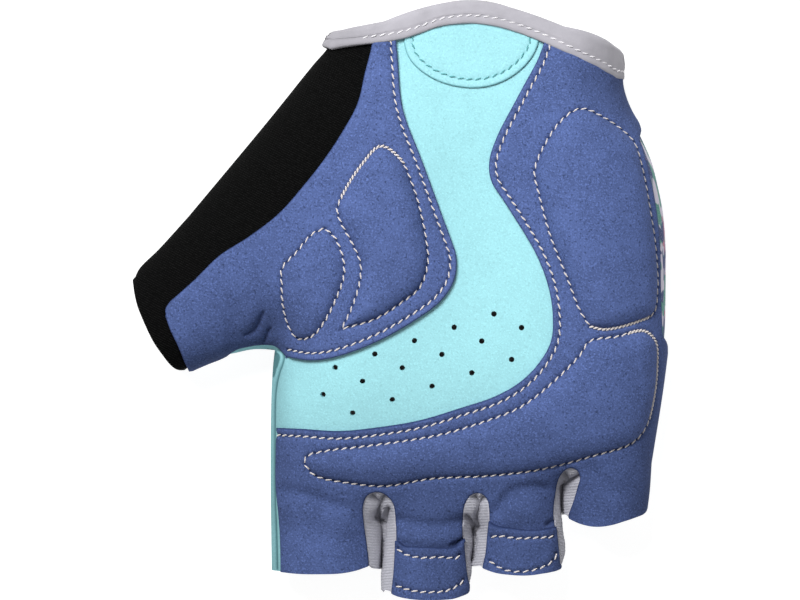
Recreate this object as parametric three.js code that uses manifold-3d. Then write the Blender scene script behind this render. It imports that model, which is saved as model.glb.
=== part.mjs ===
// Short-finger mitt for the right hand, lying on its back with the palm up.
// Millimetres: +Z out of the palm, +Y to the wrist, +X to the little finger, and the floor at z = 0.
// One smooth skin round the missing hand carries every piece. Each piece is a layer between two
// distances from that skin, cut to its outline in plan. Each outline lists points [x, y].
import * as THREE from 'three';
import { mergeVertices } from 'three/addons/utils/BufferGeometryUtils.js';
import Module from 'manifold-3d';

const wasm = await Module();
wasm.setup();

// Thicknesses and clearances
const WALL = 1.2; // knitted and stretch fabric of the base glove
const OVERLAY = 1.0; // suede sewn on the palm
const PATCH = 0.8; // suede of the cuff patch
const TAB = 1.0; // suede of the pull tabs
const BINDING = 1.0; // tape round the cuff
const HEM_RISE = 0.9; // how far the thumb hem stands out of the knit
const GAP = 0.3; // between two pieces that touch
const SEAM = GAP / 2; // each piece's share of that gap along a seam

// Heights of the skin
const SIDE_HEIGHT = 10.5; // where the palm side and the back of the hand meet
const PALM_ROUND = 18; // distance from the side over which the palm rounds over
const BACK_ROUND = 7; // the same for the back, which lies flat on the floor
const FINGER_RISE = 10; // palm side above SIDE_HEIGHT at the finger ends
const PALM_RISE = 15.5; // the same across the palm
const CUFF_DROP = 2; // how much lower the palm is at the cuff
const THUMB_DROP = 4; // how much lower it is at the thumb
const CUFF_LIFT = 1.5; // back's height above the floor at the wrist, where the tab and tape lie

// Stretches over which a height changes, in y, or in x for the thumb
const FINGERS_TO_PALM = { from: -62, to: -12 };
const PALM_TO_CUFF = { from: 35, to: 65 };
const PALM_TO_THUMB = { from: -25, to: -60 };
const BACK_TO_CUFF = { from: 14, to: 29 };

// Swellings of the palm: centre, spread and height
const SWELLINGS = [
  { part: 'ball of the thumb', x: -6, y: 14, across: 16, along: 24, rise: 3 },
  { part: 'heel of the hand', x: 45, y: 18, across: 14, along: 26, rise: 2.5 },
  { part: 'hollow of the palm', x: 16, y: 23, across: 14, along: 26, rise: -1.5 },
  { part: 'web of the thumb', x: -30, y: -9, across: 8, along: 8, rise: -5 },
];

// The skin's grid: rows run across the hand from the cuff to the openings
const LAST_ROW = 15;
const CELLS = 5; // cells across one finger's column
const ROW_CROWDING = 0.45; // 0 for even rows, more to crowd them towards the forks between the fingers
const FREE_RAMP = 3; // rows before a fork over which the cells start to crowd towards it
const CUFF_BOW_ROWS = 6; // rows over which the cuff's bow dies away

// The five columns of the glove. A bow is how far an edge curves outward in plan.
const COLUMNS = [
  { finger: 'thumb', endBow: 2.2, cuffBow: 0 },
  { finger: 'index', endBow: 1.1, cuffBow: 0.5 },
  { finger: 'middle', endBow: 3.2, cuffBow: 0.9 },
  { finger: 'ring', endBow: 2.35, cuffBow: 0.2 },
  { finger: 'little', endBow: 3.4, cuffBow: 0.6 },
];

// The lines that bound the columns. At its fork row a line parts into the sides of two fingers.
const LINES = [
  {
    place: 'outer side of the thumb',
    fork: 9,
    shared: [[-15.4, 61.2], [-17.9, 57.3], [-29.9, 41.4], [-48.3, 19.3]],
    after: [[-48.3, 19.3], [-55.2, 11.7], [-59.1, 7.4], [-60.3, 3.7]],
  },
  {
    place: 'thumb and index',
    fork: 9,
    shared: [[-3.2, 64.4], [-5.1, 46], [-10.3, 25.3], [-19.6, 2.3], [-28.3, -12]],
    before: [[-28.3, -12], [-31.7, -11], [-35.6, -11.2], [-40.2, -11.7], [-44.9, -13.8], [-50.6, -15.4]],
    after: [[-28.3, -12], [-29.2, -15.2], [-29.6, -23], [-29.6, -41.4], [-29.4, -62.3]],
  },
  {
    place: 'index and middle',
    fork: 13,
    shared: [[11.5, 68.7], [9.7, 41.4], [4.6, 11.5], [-0.9, -23], [-4.6, -49.9]],
    before: [[-4.6, -49.9], [-4.7, -55.2], [-4.5, -61.6]],
    after: [[-4.6, -49.9], [-4, -55.2], [-3.9, -66.5]],
  },
  {
    place: 'middle and ring',
    fork: 13,
    shared: [[24.8, 67.6], [24.6, 41.4], [22.1, 11.5], [19.3, -23], [17.1, -52.2]],
    before: [[17.1, -52.2], [16.3, -57.5], [15.9, -65.1]],
    after: [[17.1, -52.2], [17, -57.5], [16.9, -61.4]],
  },
  {
    place: 'ring and little',
    fork: 12,
    shared: [[37.5, 63.1], [38.6, 34.5], [39.1, 4.6], [38.6, -23], [37.6, -42.1]],
    before: [[37.6, -42.1], [36.8, -48], [37.5, -55.2], [37, -60.7]],
    after: [[37.6, -42.1], [37.6, -46], [37.8, -49.5]],
  },
  {
    place: 'outer side of the little finger',
    fork: 12,
    shared: [[49.2, 57.5], [49.9, 49.5], [55.4, 36.8], [59.8, 23.7], [61.4, 8.1], [61.4, -6.9],
      [59.3, -21.9], [56.8, -37.5]],
    before: [[56.8, -37.5], [56.4, -43.7], [55.9, -47.8]],
  },
];

// Far corners for outlines that run on past the glove
const FAR = { left: -90, right: 90, top: 95, bottom: -95 };

// Outlines in plan. Each is a list of smooth runs that meet at corners.
const WIPE = [
  [[-6.4, 66], [-6.4, 59.1], [-10.4, 43.2], [-21.9, 26.2], [-41.4, 10.1], [-50.6, 1.4], [-58, -6]],
  [[-58, -6], [FAR.left, -6]],
  [[FAR.left, -6], [FAR.left, FAR.top]],
  [[FAR.left, FAR.top], [-6.4, FAR.top]],
  [[-6.4, FAR.top], [-6.4, 66]],
];
const HEM = [
  [[-66, 8], [-59.8, 3.9], [-55.7, 0.5], [-53.6, -3.2], [-50.6, -11.5], [-47.5, -21]],
  [[-47.5, -21], [FAR.left, -21]],
  [[FAR.left, -21], [FAR.left, 8]],
  [[FAR.left, 8], [-66, 8]],
];
const THENAR = [
  [[-0.9, 66], [-1, 58.4], [1.3, 41.4], [8.5, 23], [12.9, 8.5], [9.7, 0], [-4.6, -9.2], [-15.5, -13.2],
    [-26.4, -12.9]],
  [[-26.4, -12.9], [-28.4, -9.4], [-31.7, -9.1], [-35, -9.5], [-38, -10.6], [-41, -17]],
  [[-41, -17], [FAR.left, -17]],
  [[FAR.left, -17], [FAR.left, 66]],
  [[FAR.left, 66], [-0.9, 66]],
];
const OUTER_PALM = [
  [[33, 66], [32.7, 59.3], [27.1, 46.7], [20.2, 30.4], [27.6, 16.6], [34.5, -2.8], [27.6, -18.6],
    [4.6, -27.6], [-13.8, -30.1], [-28.6, -29.4]],
  [[-28.6, -29.4], [-28.9, -43.7], [-27.6, -66]],
  [[-27.6, -66], [-27.6, FAR.bottom]],
  [[-27.6, FAR.bottom], [FAR.right, FAR.bottom]],
  [[FAR.right, FAR.bottom], [FAR.right, 66]],
  [[FAR.right, 66], [33, 66]],
];
const CUFF_PATCH = [
  [[0.6, 66], [0.7, 59.3], [3, 54.3], [9.2, 49.9], [16.1, 48.5], [23, 49.9], [29.2, 54.3], [31.6, 59.3],
    [31.8, 66]],
  [[31.8, 66], [0.6, 66]],
];
const BAND_EDGE = [[-24, 57.5], [-16.1, 58.3], [0, 60], [6.9, 62.3], [15, 63.7], [23, 62.8], [41.4, 55.4],
  [58, 47]];
const GUSSETS = [
  {
    name: 'gusset_index_middle',
    columns: [1, 2],
    edge: [[-6.9, -72], [-7.1, -60.5], [-8.3, -49.5], [-7.6, -45.1], [-5.4, -44], [-2.8, -45.3],
      [-1.2, -49.5], [-1.1, -57], [-2.1, -75]],
  },
  {
    name: 'gusset_middle_ring',
    columns: [2, 3],
    edge: [[14.2, -75], [14.8, -59.8], [14.5, -50.6], [15.1, -46.5], [17.2, -44.2], [19.8, -45.5],
      [20.4, -50], [20.1, -55.2], [19, -72]],
  },
  {
    name: 'gusset_ring_little',
    columns: [3, 4],
    edge: [[34.6, -72], [36, -57], [35.3, -48.3], [36.1, -43.2], [37.9, -39], [40.3, -39.2], [41, -41],
      [39.5, -49], [39, -66]],
  },
];
const PULL_TABS = [
  { name: 'middle_pull_tab', finger: 2, topEdge: [[-3, -55], [0.7, -56.4], [11.5, -56.8], [18, -55]] },
  { name: 'ring_pull_tab', finger: 3, topEdge: [[17, -50.8], [23, -52], [30, -52.8], [37.5, -52]] },
];
const WRIST_TAB = { left: -12, right: 36, bottom: 31, top: 47 };

// The padded cells under the suede, with how thick each stands, and the stitched outline round it
const PAD_EDGE = 4; // distance from the stitching over which a cell reaches its full height
const PAD_INSET = 1.5; // foam's edge inside the stitching
const PADS = [
  {
    name: 'thenar_pad',
    height: 2,
    outline: [
      [[-13.3, -6.7], [0.5, -0.5], [6.3, 7], [5.3, 17.3], [0, 32.2], [-4.4, 35], [-10.6, 28.1],
        [-14.3, 20.2], [-9.4, 9.7], [-13.3, -6.7]],
    ],
  },
  {
    name: 'web_pad',
    height: 1.7,
    outline: [
      [[-26.9, 7.4], [-17.3, 16.3], [-12.8, 7], [-18.4, -6.9], [-23.9, -8.7], [-26.9, 7.4]],
    ],
  },
  {
    name: 'heel_pad',
    height: 2,
    outline: [
      [[39.8, 43.2], [46, 42.1], [54.7, 32.9], [58.6, 12], [58.2, -3], [42.6, -5.4], [33.4, 17.9],
        [30.6, 29], [39.8, 43.2]],
    ],
  },
  {
    name: 'finger_base_pad',
    height: 1.8,
    outline: [
      [[-21.9, -37.5], [-17.3, -34.6], [9.2, -30.8], [27.6, -24.4], [42.1, -10.8], [55.4, -7.1],
        [58.7, -17], [53.4, -32.7], [36.8, -37.8], [3.4, -41.4], [-11.5, -41.9], [-21.9, -37.5]],
    ],
  },
];

// Air holes in the palm: three slanted rows, each with its first hole and count
const HOLE_RADIUS = 0.65;
const HOLE_STEP = [9.06, 3.06];
const HOLE_CUTTER = { sides: 6, length: 30, middle: 28 }; // tall enough to pass through the palm alone
const HOLE_ROWS = [
  { x: -14.8, y: -15.4, count: 5 },
  { x: -17.6, y: -21.6, count: 6 },
  { x: -10.8, y: -25.8, count: 5 },
];

// The seam between palm and back climbs onto the palm along the heel of the hand
const HEEL_SEAM_START = 40;
const HEEL_SEAM = [
  { y: 43, z: 9.5 },
  { y: 33, z: 14.5 },
  { y: 20, z: 16.5 },
  { y: 0, z: 16.5 },
  { y: -10, z: 14 },
  { y: -20, z: 9.3 },
];

const clamp01 = (value) => Math.min(1, Math.max(0, value));
const ramp = (value) => THREE.MathUtils.smoothstep(value, 0, 1);
const share = ({ from, to }, value) => ramp((value - from) / (to - from));

// Evenly spaced points on a smooth line through the given points.
function pointsAlong(points, count, crowding = 0) {
  const curve = new THREE.CatmullRomCurve3(points.map(([x, y]) => new THREE.Vector3(x, y, 0)));
  curve.arcLengthDivisions = 400;
  const found = [];
  for (let i = 0; i <= count; i += 1) {
    const u = i / count;
    const at = curve.getPointAt(u + crowding * u * (1 - u));
    found.push(new THREE.Vector2(at.x, at.y));
  }
  return found;
}

// The two lists of points, one a row, where a bounding line passes the fingers before and after it.
const SIDES = LINES.map((line) => {
  const shared = pointsAlong(line.shared, line.fork, ROW_CROWDING);
  const whole = (side) =>
    side ? shared.concat(pointsAlong(side, LAST_ROW - line.fork).slice(1)) : null;
  return { before: whole(line.before), after: whole(line.after), fork: line.fork };
});

// Stretches of side along which the glove is open to the air, with how much each one counts.
// The two sides of a slit between fingers share one side's weight, because they lie together.
const EDGE_RUN_ON = 30; // how far the sides run on past the openings
const freeStretches = [];
SIDES.forEach((side, index) => {
  const outer = index === 0 || index === SIDES.length - 1;
  const weight = outer || index === 1 ? 1 : 0.5;
  for (const points of [side.before, side.after]) {
    if (!points) continue;
    const first = outer ? 0 : side.fork;
    for (let row = first; row < LAST_ROW; row += 1)
      freeStretches.push({ a: points[row], b: points[row + 1], weight });
    const end = points[LAST_ROW];
    const on = end.clone().sub(points[LAST_ROW - 1]).setLength(EDGE_RUN_ON).add(end);
    freeStretches.push({ a: end, b: on, weight });
  }
});

// Smooth distance from the open sides. Beside one straight side it is the true distance.
function fromSide(x, y) {
  let sum = 0;
  for (const { a, b, weight } of freeStretches) {
    const length = Math.hypot(b.x - a.x, b.y - a.y);
    const ux = (b.x - a.x) / length;
    const uy = (b.y - a.y) / length;
    const along = (x - a.x) * ux + (y - a.y) * uy;
    const beyond = length - along;
    const off = Math.max(1e-6, ((x - a.x) * uy - (y - a.y) * ux) ** 2);
    const seen = beyond / Math.sqrt(off + beyond ** 2) + along / Math.sqrt(off + along ** 2);
    sum += (weight * seen) / off;
  }
  return Math.sqrt(2 / sum);
}

// Quarter round: rises steeply at 0 and levels out at 1.
const roundness = (t) => (t >= 1 ? 1 : Math.sqrt(1 - (1 - t) ** 2));

function palmHeight(x, y) {
  let rise = FINGER_RISE + (PALM_RISE - FINGER_RISE) * share(FINGERS_TO_PALM, y);
  rise -= CUFF_DROP * share(PALM_TO_CUFF, y);
  rise -= THUMB_DROP * share(PALM_TO_THUMB, x);
  for (const s of SWELLINGS)
    rise += s.rise * Math.exp(-(((x - s.x) / s.across) ** 2) - ((y - s.y) / s.along) ** 2);
  return SIDE_HEIGHT + rise * roundness(fromSide(x, y) / PALM_ROUND);
}

function backHeight(x, y) {
  const lift = CUFF_LIFT * share(BACK_TO_CUFF, y);
  return SIDE_HEIGHT - (SIDE_HEIGHT - lift) * roundness(fromSide(x, y) / BACK_ROUND);
}

// Plan place of a grid point: its column, its row and its step across the column.
function gridPoint(column, row, step) {
  const left = SIDES[column];
  const right = SIDES[column + 1];
  const a = left.after[row];
  const b = right.before[row];
  const freeLeft = column === 0 ? 1 : clamp01((row - left.fork) / FREE_RAMP + 1);
  const freeRight = column === COLUMNS.length - 1 ? 1 : clamp01((row - right.fork) / FREE_RAMP + 1);
  const t = step / CELLS;
  const quarter = (Math.PI / 2) * t;
  const s = t + freeLeft * (1 - Math.cos(quarter) - t) + freeRight * (Math.sin(quarter) - t);
  const fork = Math.max(left.fork, right.fork);
  const out = new THREE.Vector2(b.y - a.y, a.x - b.x).normalize();
  const endShare = clamp01((row - fork) / (LAST_ROW - fork)) ** 2;
  const cuffShare = clamp01(1 - row / CUFF_BOW_ROWS) ** 2;
  const bow = COLUMNS[column].endBow * endShare - COLUMNS[column].cuffBow * cuffShare;
  return a.clone().lerp(b, s).addScaledVector(out, 4 * s * (1 - s) * bow);
}

// The skin: one shared list of points, their outward directions, and faces marked by place.
const skin = (() => {
  const key = new Map();
  const points = [];
  const faces = [];
  const nextRow = new Map(); // from each point of the cuff's edge to its neighbour one row in
  const pointAt = (column, row, step, side) => {
    const plan = gridPoint(column, row, step);
    const onLeft = step === 0 && (column === 0 || row >= SIDES[column].fork);
    const onRight = step === CELLS && (column === COLUMNS.length - 1 || row >= SIDES[column + 1].fork);
    let z = side === 'palm' ? palmHeight(plan.x, plan.y) : backHeight(plan.x, plan.y);
    if (onLeft || onRight) z = SIDE_HEIGHT;
    const name = `${plan.x.toFixed(3)} ${plan.y.toFixed(3)} ${z.toFixed(3)}`;
    if (!key.has(name)) {
      key.set(name, points.length);
      points.push(new THREE.Vector3(plan.x, plan.y, z));
    }
    return key.get(name);
  };
  for (const side of ['palm', 'back'])
    for (let column = 0; column < COLUMNS.length; column += 1)
      for (let row = 0; row < LAST_ROW; row += 1)
        for (let step = 0; step < CELLS; step += 1) {
          const a = pointAt(column, row, step, side);
          const b = pointAt(column, row, step + 1, side);
          const c = pointAt(column, row + 1, step, side);
          const d = pointAt(column, row + 1, step + 1, side);
          const place = { column, row, side };
          if (row === 0) nextRow.set(a, c).set(b, d);
          const two = side === 'palm' ? [[a, c, d], [a, d, b]] : [[a, d, c], [a, b, d]];
          for (const corners of two) faces.push({ corners, ...place });
        }
  const geometry = new THREE.BufferGeometry().setFromPoints(points);
  geometry.setIndex(faces.flatMap((face) => face.corners));
  geometry.computeVertexNormals();
  const { normal } = geometry.attributes;
  const outward = points.map((_, i) => new THREE.Vector3().fromBufferAttribute(normal, i));
  return { points, outward, faces, nextRow };
})();

function solidFrom(geometry) {
  const bare = geometry.clone();
  bare.deleteAttribute('normal');
  bare.deleteAttribute('uv');
  const merged = mergeVertices(bare);
  return new wasm.Manifold(new wasm.Mesh({
    numProp: 3,
    vertProperties: Float32Array.from(merged.attributes.position.array),
    triVerts: Uint32Array.from(merged.index.array),
  }));
}

// Closed solid between two distances from the skin, over the faces that pass the test.
// A distance is a number or a function of x and y. The solid stops short of the cuff's edge by
// cuffDrop, and nothing goes below the floor.
function layer(test, from, to, cuffDrop = 0) {
  const faces = skin.faces.filter(test).map((face) => face.corners);
  const distance = (value, at) => (typeof value === 'function' ? value(at.x, at.y) : value);
  const raised = (value, i) => {
    const at = skin.points[i].clone().addScaledVector(skin.outward[i], distance(value, skin.points[i]));
    at.z = Math.max(0, at.z);
    return at;
  };
  const placed = (value, i) => {
    const at = raised(value, i);
    if (!skin.nextRow.has(i)) return at;
    const next = raised(value, skin.nextRow.get(i));
    return at.lerp(next, cuffDrop / at.distanceTo(next));
  };
  const used = [...new Set(faces.flat())];
  const order = new Map(used.map((point, i) => [point, i]));
  const count = used.length;
  const outer = (point) => order.get(point);
  const inner = (point) => order.get(point) + count;
  const corners = [...used.map((i) => placed(to, i)), ...used.map((i) => placed(from, i))];
  const edges = new Set(faces.flatMap(([i, j, k]) => [`${i} ${j}`, `${j} ${k}`, `${k} ${i}`]));
  const index = [];
  for (const [i, j, k] of faces)
    index.push(outer(i), outer(j), outer(k), inner(i), inner(k), inner(j));
  for (const edge of edges) {
    const [i, j] = edge.split(' ').map(Number);
    if (edges.has(`${j} ${i}`)) continue;
    index.push(outer(j), outer(i), inner(i), outer(j), inner(i), inner(j));
  }
  return new wasm.Manifold(new wasm.Mesh({
    numProp: 3,
    vertProperties: Float32Array.from(corners.flatMap((at) => [at.x, at.y, at.z])),
    triVerts: Uint32Array.from(index),
  }));
}

// Points of a closed outline made of smooth runs, about one step apart.
const OUTLINE_STEP = 6;
function outlinePoints(runs, outlineStep = OUTLINE_STEP) {
  const found = [];
  for (const run of runs) {
    const legs = run.slice(1).map(([x, y], i) => Math.hypot(x - run[i][0], y - run[i][1]));
    const length = legs.reduce((sum, leg) => sum + leg, 0);
    const count = run.length === 2 ? 1 : Math.ceil(length / outlineStep);
    found.push(...pointsAlong(run, count).slice(0, -1));
  }
  return found;
}

// The outline moved outward by a small distance.
function expanded(points, distance) {
  const turn = THREE.ShapeUtils.isClockWise(points) ? -1 : 1;
  return points.map((at, i) => {
    const last = points[(i + points.length - 1) % points.length];
    const next = points[(i + 1) % points.length];
    const into = at.clone().sub(last).normalize();
    const out = next.clone().sub(at).normalize();
    const normal = new THREE.Vector2(into.y + out.y, -into.x - out.x).normalize().multiplyScalar(turn);
    const square = Math.max(0.4, Math.abs(normal.x * into.y - normal.y * into.x));
    return at.clone().addScaledVector(normal, distance / square);
  });
}

// Upright cutter of an outline, taller than the glove.
const CUTTER = { bottom: -10, top: 60 };
function uprightSolid(shape) {
  const depth = CUTTER.top - CUTTER.bottom;
  const geometry = new THREE.ExtrudeGeometry(shape, { depth, bevelEnabled: false, curveSegments: 6 });
  return solidFrom(geometry.translate(0, 0, CUTTER.bottom));
}
const cutter = (runs, distance = 0, outlineStep = OUTLINE_STEP) =>
  uprightSolid(new THREE.Shape(expanded(outlinePoints(runs, outlineStep), distance)));

// An outline of one smooth edge closed by straight lines through the given far corners.
const closedBy = (edge, ...corners) => {
  const loop = [edge.at(-1), ...corners];
  return [edge, ...[...corners, edge[0]].map((corner, i) => [loop[i], corner])];
};

// The palm's half of space: above the seam, which climbs along the heel of the hand.
function palmHalf(lift) {
  const floor = SIDE_HEIGHT + lift;
  const wide = FAR.right - FAR.left;
  const block = new THREE.BoxGeometry(wide, FAR.top - FAR.bottom, CUTTER.top - floor);
  block.translate(0, 0, (CUTTER.top + floor) / 2);
  const profile = HEEL_SEAM.map(({ y, z }) => new THREE.Vector2(y, z + lift));
  profile.push(new THREE.Vector2(HEEL_SEAM.at(-1).y, CUTTER.bottom));
  profile.push(new THREE.Vector2(HEEL_SEAM[0].y, CUTTER.bottom));
  const heel = new THREE.ExtrudeGeometry(new THREE.Shape(profile), {
    depth: FAR.right - HEEL_SEAM_START + 1,
    bevelEnabled: false,
  });
  const upright = new THREE.Matrix4().makeBasis(
    new THREE.Vector3(0, 1, 0), new THREE.Vector3(0, 0, 1), new THREE.Vector3(1, 0, 0));
  heel.applyMatrix4(upright).translate(HEEL_SEAM_START, 0, 0);
  return solidFrom(block).subtract(solidFrom(heel));
}

// How far inside a closed outline a point is, and less than 0 outside it.
function depthInside(points, x, y) {
  let nearest = Infinity;
  let inside = false;
  points.forEach((a, i) => {
    const b = points[(i + 1) % points.length];
    const t = clamp01(((x - a.x) * (b.x - a.x) + (y - a.y) * (b.y - a.y)) / a.distanceToSquared(b));
    nearest = Math.min(nearest, Math.hypot(x - a.x - t * (b.x - a.x), y - a.y - t * (b.y - a.y)));
    if (a.y > y !== b.y > y && x < a.x + ((y - a.y) / (b.y - a.y)) * (b.x - a.x)) inside = !inside;
  });
  return inside ? nearest : -nearest;
}

// How far the suede stands off the fabric where it bridges the fork between thumb and index.
const BRIDGE = { x: -29.4, y: -10, reach: 5, rise: 0.5 };
const bridgeRise = (x, y) =>
  BRIDGE.rise * Math.exp(-((x - BRIDGE.x) ** 2 + (y - BRIDGE.y) ** 2) / BRIDGE.reach ** 2);

// How far the foam lifts the suede over it.
const padOutlines = PADS.map((pad) => outlinePoints(pad.outline));
const padRise = (x, y) =>
  PADS.reduce((rise, pad, i) => rise + pad.height * ramp(depthInside(padOutlines[i], x, y) / PAD_EDGE), 0);

const everywhere = () => true;
const onPalm = (face) => face.side === 'palm';
const onBack = (face) => face.side === 'back';
const nearCuff = (face) => face.row < 2;

const band = closedBy(BAND_EDGE, [FAR.right, FAR.top], [FAR.left, FAR.top]);
const GUSSET_STEP = 3.5;
const gussetCutter = ({ edge }, distance) =>
  cutter(closedBy(edge, [edge.at(-1)[0], FAR.bottom], [edge[0][0], FAR.bottom]), distance, GUSSET_STEP);
const gussetSlots = GUSSETS.map((strip) => gussetCutter(strip, SEAM));
const shell = layer(everywhere, -WALL, 0, BINDING + GAP);
const thumbCuts = [cutter(WIPE, SEAM), cutter(HEM, SEAM)];

const cutAll = (solid, cuts) => cuts.reduce((rest, cut) => rest.subtract(cut), solid);

// The base of the palm, with its air holes
function palmBase() {
  const half = cutAll(shell.intersect(palmHalf(SEAM)), [...thumbCuts, ...gussetSlots]);
  const holes = [];
  for (const { x, y, count } of HOLE_ROWS)
    for (let i = 0; i < count; i += 1) {
      const { sides, length, middle } = HOLE_CUTTER;
      const hole = new THREE.CylinderGeometry(HOLE_RADIUS, HOLE_RADIUS, length, sides);
      hole.rotateX(Math.PI / 2).translate(x + i * HOLE_STEP[0], y + i * HOLE_STEP[1], middle);
      holes.push(solidFrom(hole));
    }
  return cutAll(half, holes);
}

// The printed back, flat where it lies on the floor
const backPanel = () => cutAll(shell.subtract(palmHalf(-SEAM)), [...thumbCuts, ...gussetSlots]);

// The towelling round the thumb and the hem at its end
const thumbWipe = () => shell.intersect(cutter(WIPE, -SEAM)).subtract(cutter(HEM, SEAM));
const thumbHem = () => layer((face) => face.column === 0, -WALL, HEM_RISE).intersect(cutter(HEM, -SEAM));

// Ribbed strips that join palm and back between the fingers
const gusset = (strip) =>
  layer((face) => strip.columns.includes(face.column), -WALL, 0).intersect(gussetCutter(strip, -SEAM));

// Suede over the palm, raised where foam lies under it
const suedeRise = (x, y) => GAP + padRise(x, y) + bridgeRise(x, y);
const overlaySheet = layer(onPalm, suedeRise, (x, y) => OVERLAY + suedeRise(x, y));
const underBand = cutter(band, GAP);
const thenarOverlay = () => cutAll(overlaySheet.intersect(cutter(THENAR)), [...thumbCuts, underBand]);
const outerOverlay = () =>
  cutAll(overlaySheet.intersect(cutter(OUTER_PALM)).intersect(palmHalf(SEAM)), [underBand, ...gussetSlots]);
const cuffPatch = () =>
  layer(onPalm, GAP, GAP + PATCH).intersect(cutter(CUFF_PATCH)).subtract(underBand);

// Foam of one padded cell: what lies under the suede's rise and above the base
const foamSheet = layer(onPalm, -WALL, padRise).subtract(layer(onPalm, -2 * WALL, GAP));
const padFoam = (pad) => foamSheet.intersect(cutter(pad.outline, -PAD_INSET));

// Flap across a finger's end for pulling the mitt off
const TAB_SWELL = 0.8; // how far its middle stands off the finger
const TAB_HALF_WIDTH = 9;
function pullTab({ finger, topEdge }) {
  const from = GAP + OVERLAY + GAP;
  const middle = (topEdge[0][0] + topEdge[topEdge.length - 1][0]) / 2;
  const swell = (x) => TAB_SWELL * Math.max(0, 1 - ((x - middle) / TAB_HALF_WIDTH) ** 2);
  const sheet = layer(
    (face) => onPalm(face) && face.column === finger,
    (x) => from + swell(x),
    (x) => from + TAB + swell(x));
  const outline = closedBy(topEdge, [topEdge.at(-1)[0], FAR.bottom], [topEdge[0][0], FAR.bottom]);
  return cutAll(sheet.intersect(cutter(outline)), gussetSlots);
}

// Folded tape over the cuff's edge: a channel that the base's edge sits in
function cuffBinding() {
  const tape = layer(nearCuff, -WALL - GAP - BINDING, GAP + BINDING).intersect(cutter(band));
  const channel = layer(nearCuff, -WALL - GAP, GAP, BINDING);
  return tape.subtract(channel);
}

// Plain closing tab across the back of the wrist, hidden under the mitt
function wristTab() {
  const { left, right, bottom, top } = WRIST_TAB;
  const radius = (top - bottom) / 2;
  const shape = new THREE.Shape();
  shape.moveTo(left + radius, bottom).lineTo(right, bottom).lineTo(right, top).lineTo(left + radius, top);
  shape.absarc(left + radius, bottom + radius, radius, Math.PI / 2, (3 * Math.PI) / 2, false);
  return layer(onBack, GAP, CUFF_LIFT).intersect(uprightSolid(shape));
}

const MATERIALS = {
  aquaSuede: { color: 0xacecee, roughness: 0.95 },
  blueSuede: { color: 0x5a6ba8, roughness: 0.95 },
  greyTape: { color: 0xc4c1ca, roughness: 0.85 },
  greyRib: { color: 0xa0a0a5, roughness: 0.9 },
  blackKnit: { color: 0x0e0e0e, roughness: 1 },
  printedStretch: { color: 0x5f7fa8, roughness: 0.6 },
  foam: { color: 0xd9d4c8, roughness: 1 },
};

const mitt = new THREE.Group();
mitt.name = 'cycling_mitt';

function piece(name, finish, solid) {
  const { vertProperties, triVerts } = solid.getMesh();
  const geometry = new THREE.BufferGeometry();
  geometry.setAttribute('position', new THREE.BufferAttribute(vertProperties, 3));
  geometry.setIndex([...triVerts]);
  const material = new THREE.MeshStandardMaterial({ ...MATERIALS[finish], metalness: 0 });
  const mesh = new THREE.Mesh(geometry, material);
  mesh.name = name;
  mitt.add(mesh);
}

piece('palm_base', 'aquaSuede', palmBase());
piece('back_panel', 'printedStretch', backPanel());
piece('thumb_wipe', 'blackKnit', thumbWipe());
piece('thumb_hem', 'blackKnit', thumbHem());
for (const strip of GUSSETS) piece(strip.name, 'greyRib', gusset(strip));
piece('thenar_overlay', 'blueSuede', thenarOverlay());
piece('outer_palm_overlay', 'blueSuede', outerOverlay());
piece('cuff_patch', 'aquaSuede', cuffPatch());
for (const pad of PADS) piece(pad.name, 'foam', padFoam(pad));
for (const tab of PULL_TABS) piece(tab.name, 'blueSuede', pullTab(tab));
piece('cuff_binding', 'greyTape', cuffBinding());
piece('wrist_tab', 'printedStretch', wristTab());

export default mitt;
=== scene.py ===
import math
from functools import lru_cache

import bmesh
import bpy
import numpy as np
from bpy.props import FloatProperty, FloatVectorProperty, PointerProperty
from mathutils import Matrix, Vector
from mathutils.geometry import delaunay_2d_cdt
from mathutils.kdtree import KDTree


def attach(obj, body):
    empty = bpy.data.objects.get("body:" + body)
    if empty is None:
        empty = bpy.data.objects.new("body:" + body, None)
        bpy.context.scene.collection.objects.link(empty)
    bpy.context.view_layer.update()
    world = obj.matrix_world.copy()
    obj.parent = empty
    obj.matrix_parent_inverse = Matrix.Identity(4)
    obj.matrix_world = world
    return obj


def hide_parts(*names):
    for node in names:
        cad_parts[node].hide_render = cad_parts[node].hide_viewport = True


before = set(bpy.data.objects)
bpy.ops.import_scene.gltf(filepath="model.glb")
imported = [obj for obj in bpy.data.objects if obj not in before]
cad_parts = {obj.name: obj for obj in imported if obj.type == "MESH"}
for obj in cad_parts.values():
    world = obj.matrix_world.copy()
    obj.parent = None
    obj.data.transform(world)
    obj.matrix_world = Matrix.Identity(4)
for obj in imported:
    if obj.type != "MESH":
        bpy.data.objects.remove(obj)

bl_info = {
    "name": "Cycling Mitt",
    "version": (1, 0, 0),
    "blender": (4, 5, 0),
    "location": "3D View > Sidebar > Mitt",
    "description": "Dresses the packed short-finger mitt in suede, knit, tape and stitching",
    "category": "Object",
}

# Tables and surface functions are in millimetres: +X to the little finger, +Y to the wrist, +Z out
# of the palm, and the floor at 0. Meshes are turned into metres when they are finished.
MM = 0.001

# Heights of the skin that every piece is laid on
SIDE_HEIGHT = 10.5  # where the palm side and the back of the hand meet
PALM_ROUND = 18.0  # distance from the side over which the palm rounds over
BACK_ROUND = 7.0
FINGER_RISE = 10.0
PALM_RISE = 15.5
CUFF_DROP = 2.0
THUMB_DROP = 4.0
CUFF_LIFT = 1.5

# Stretches over which a height changes, in y, or in x for the thumb
FINGERS_TO_PALM = (-62.0, -12.0)
PALM_TO_CUFF = (35.0, 65.0)
PALM_TO_THUMB = (-25.0, -60.0)
BACK_TO_CUFF = (14.0, 29.0)

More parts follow.
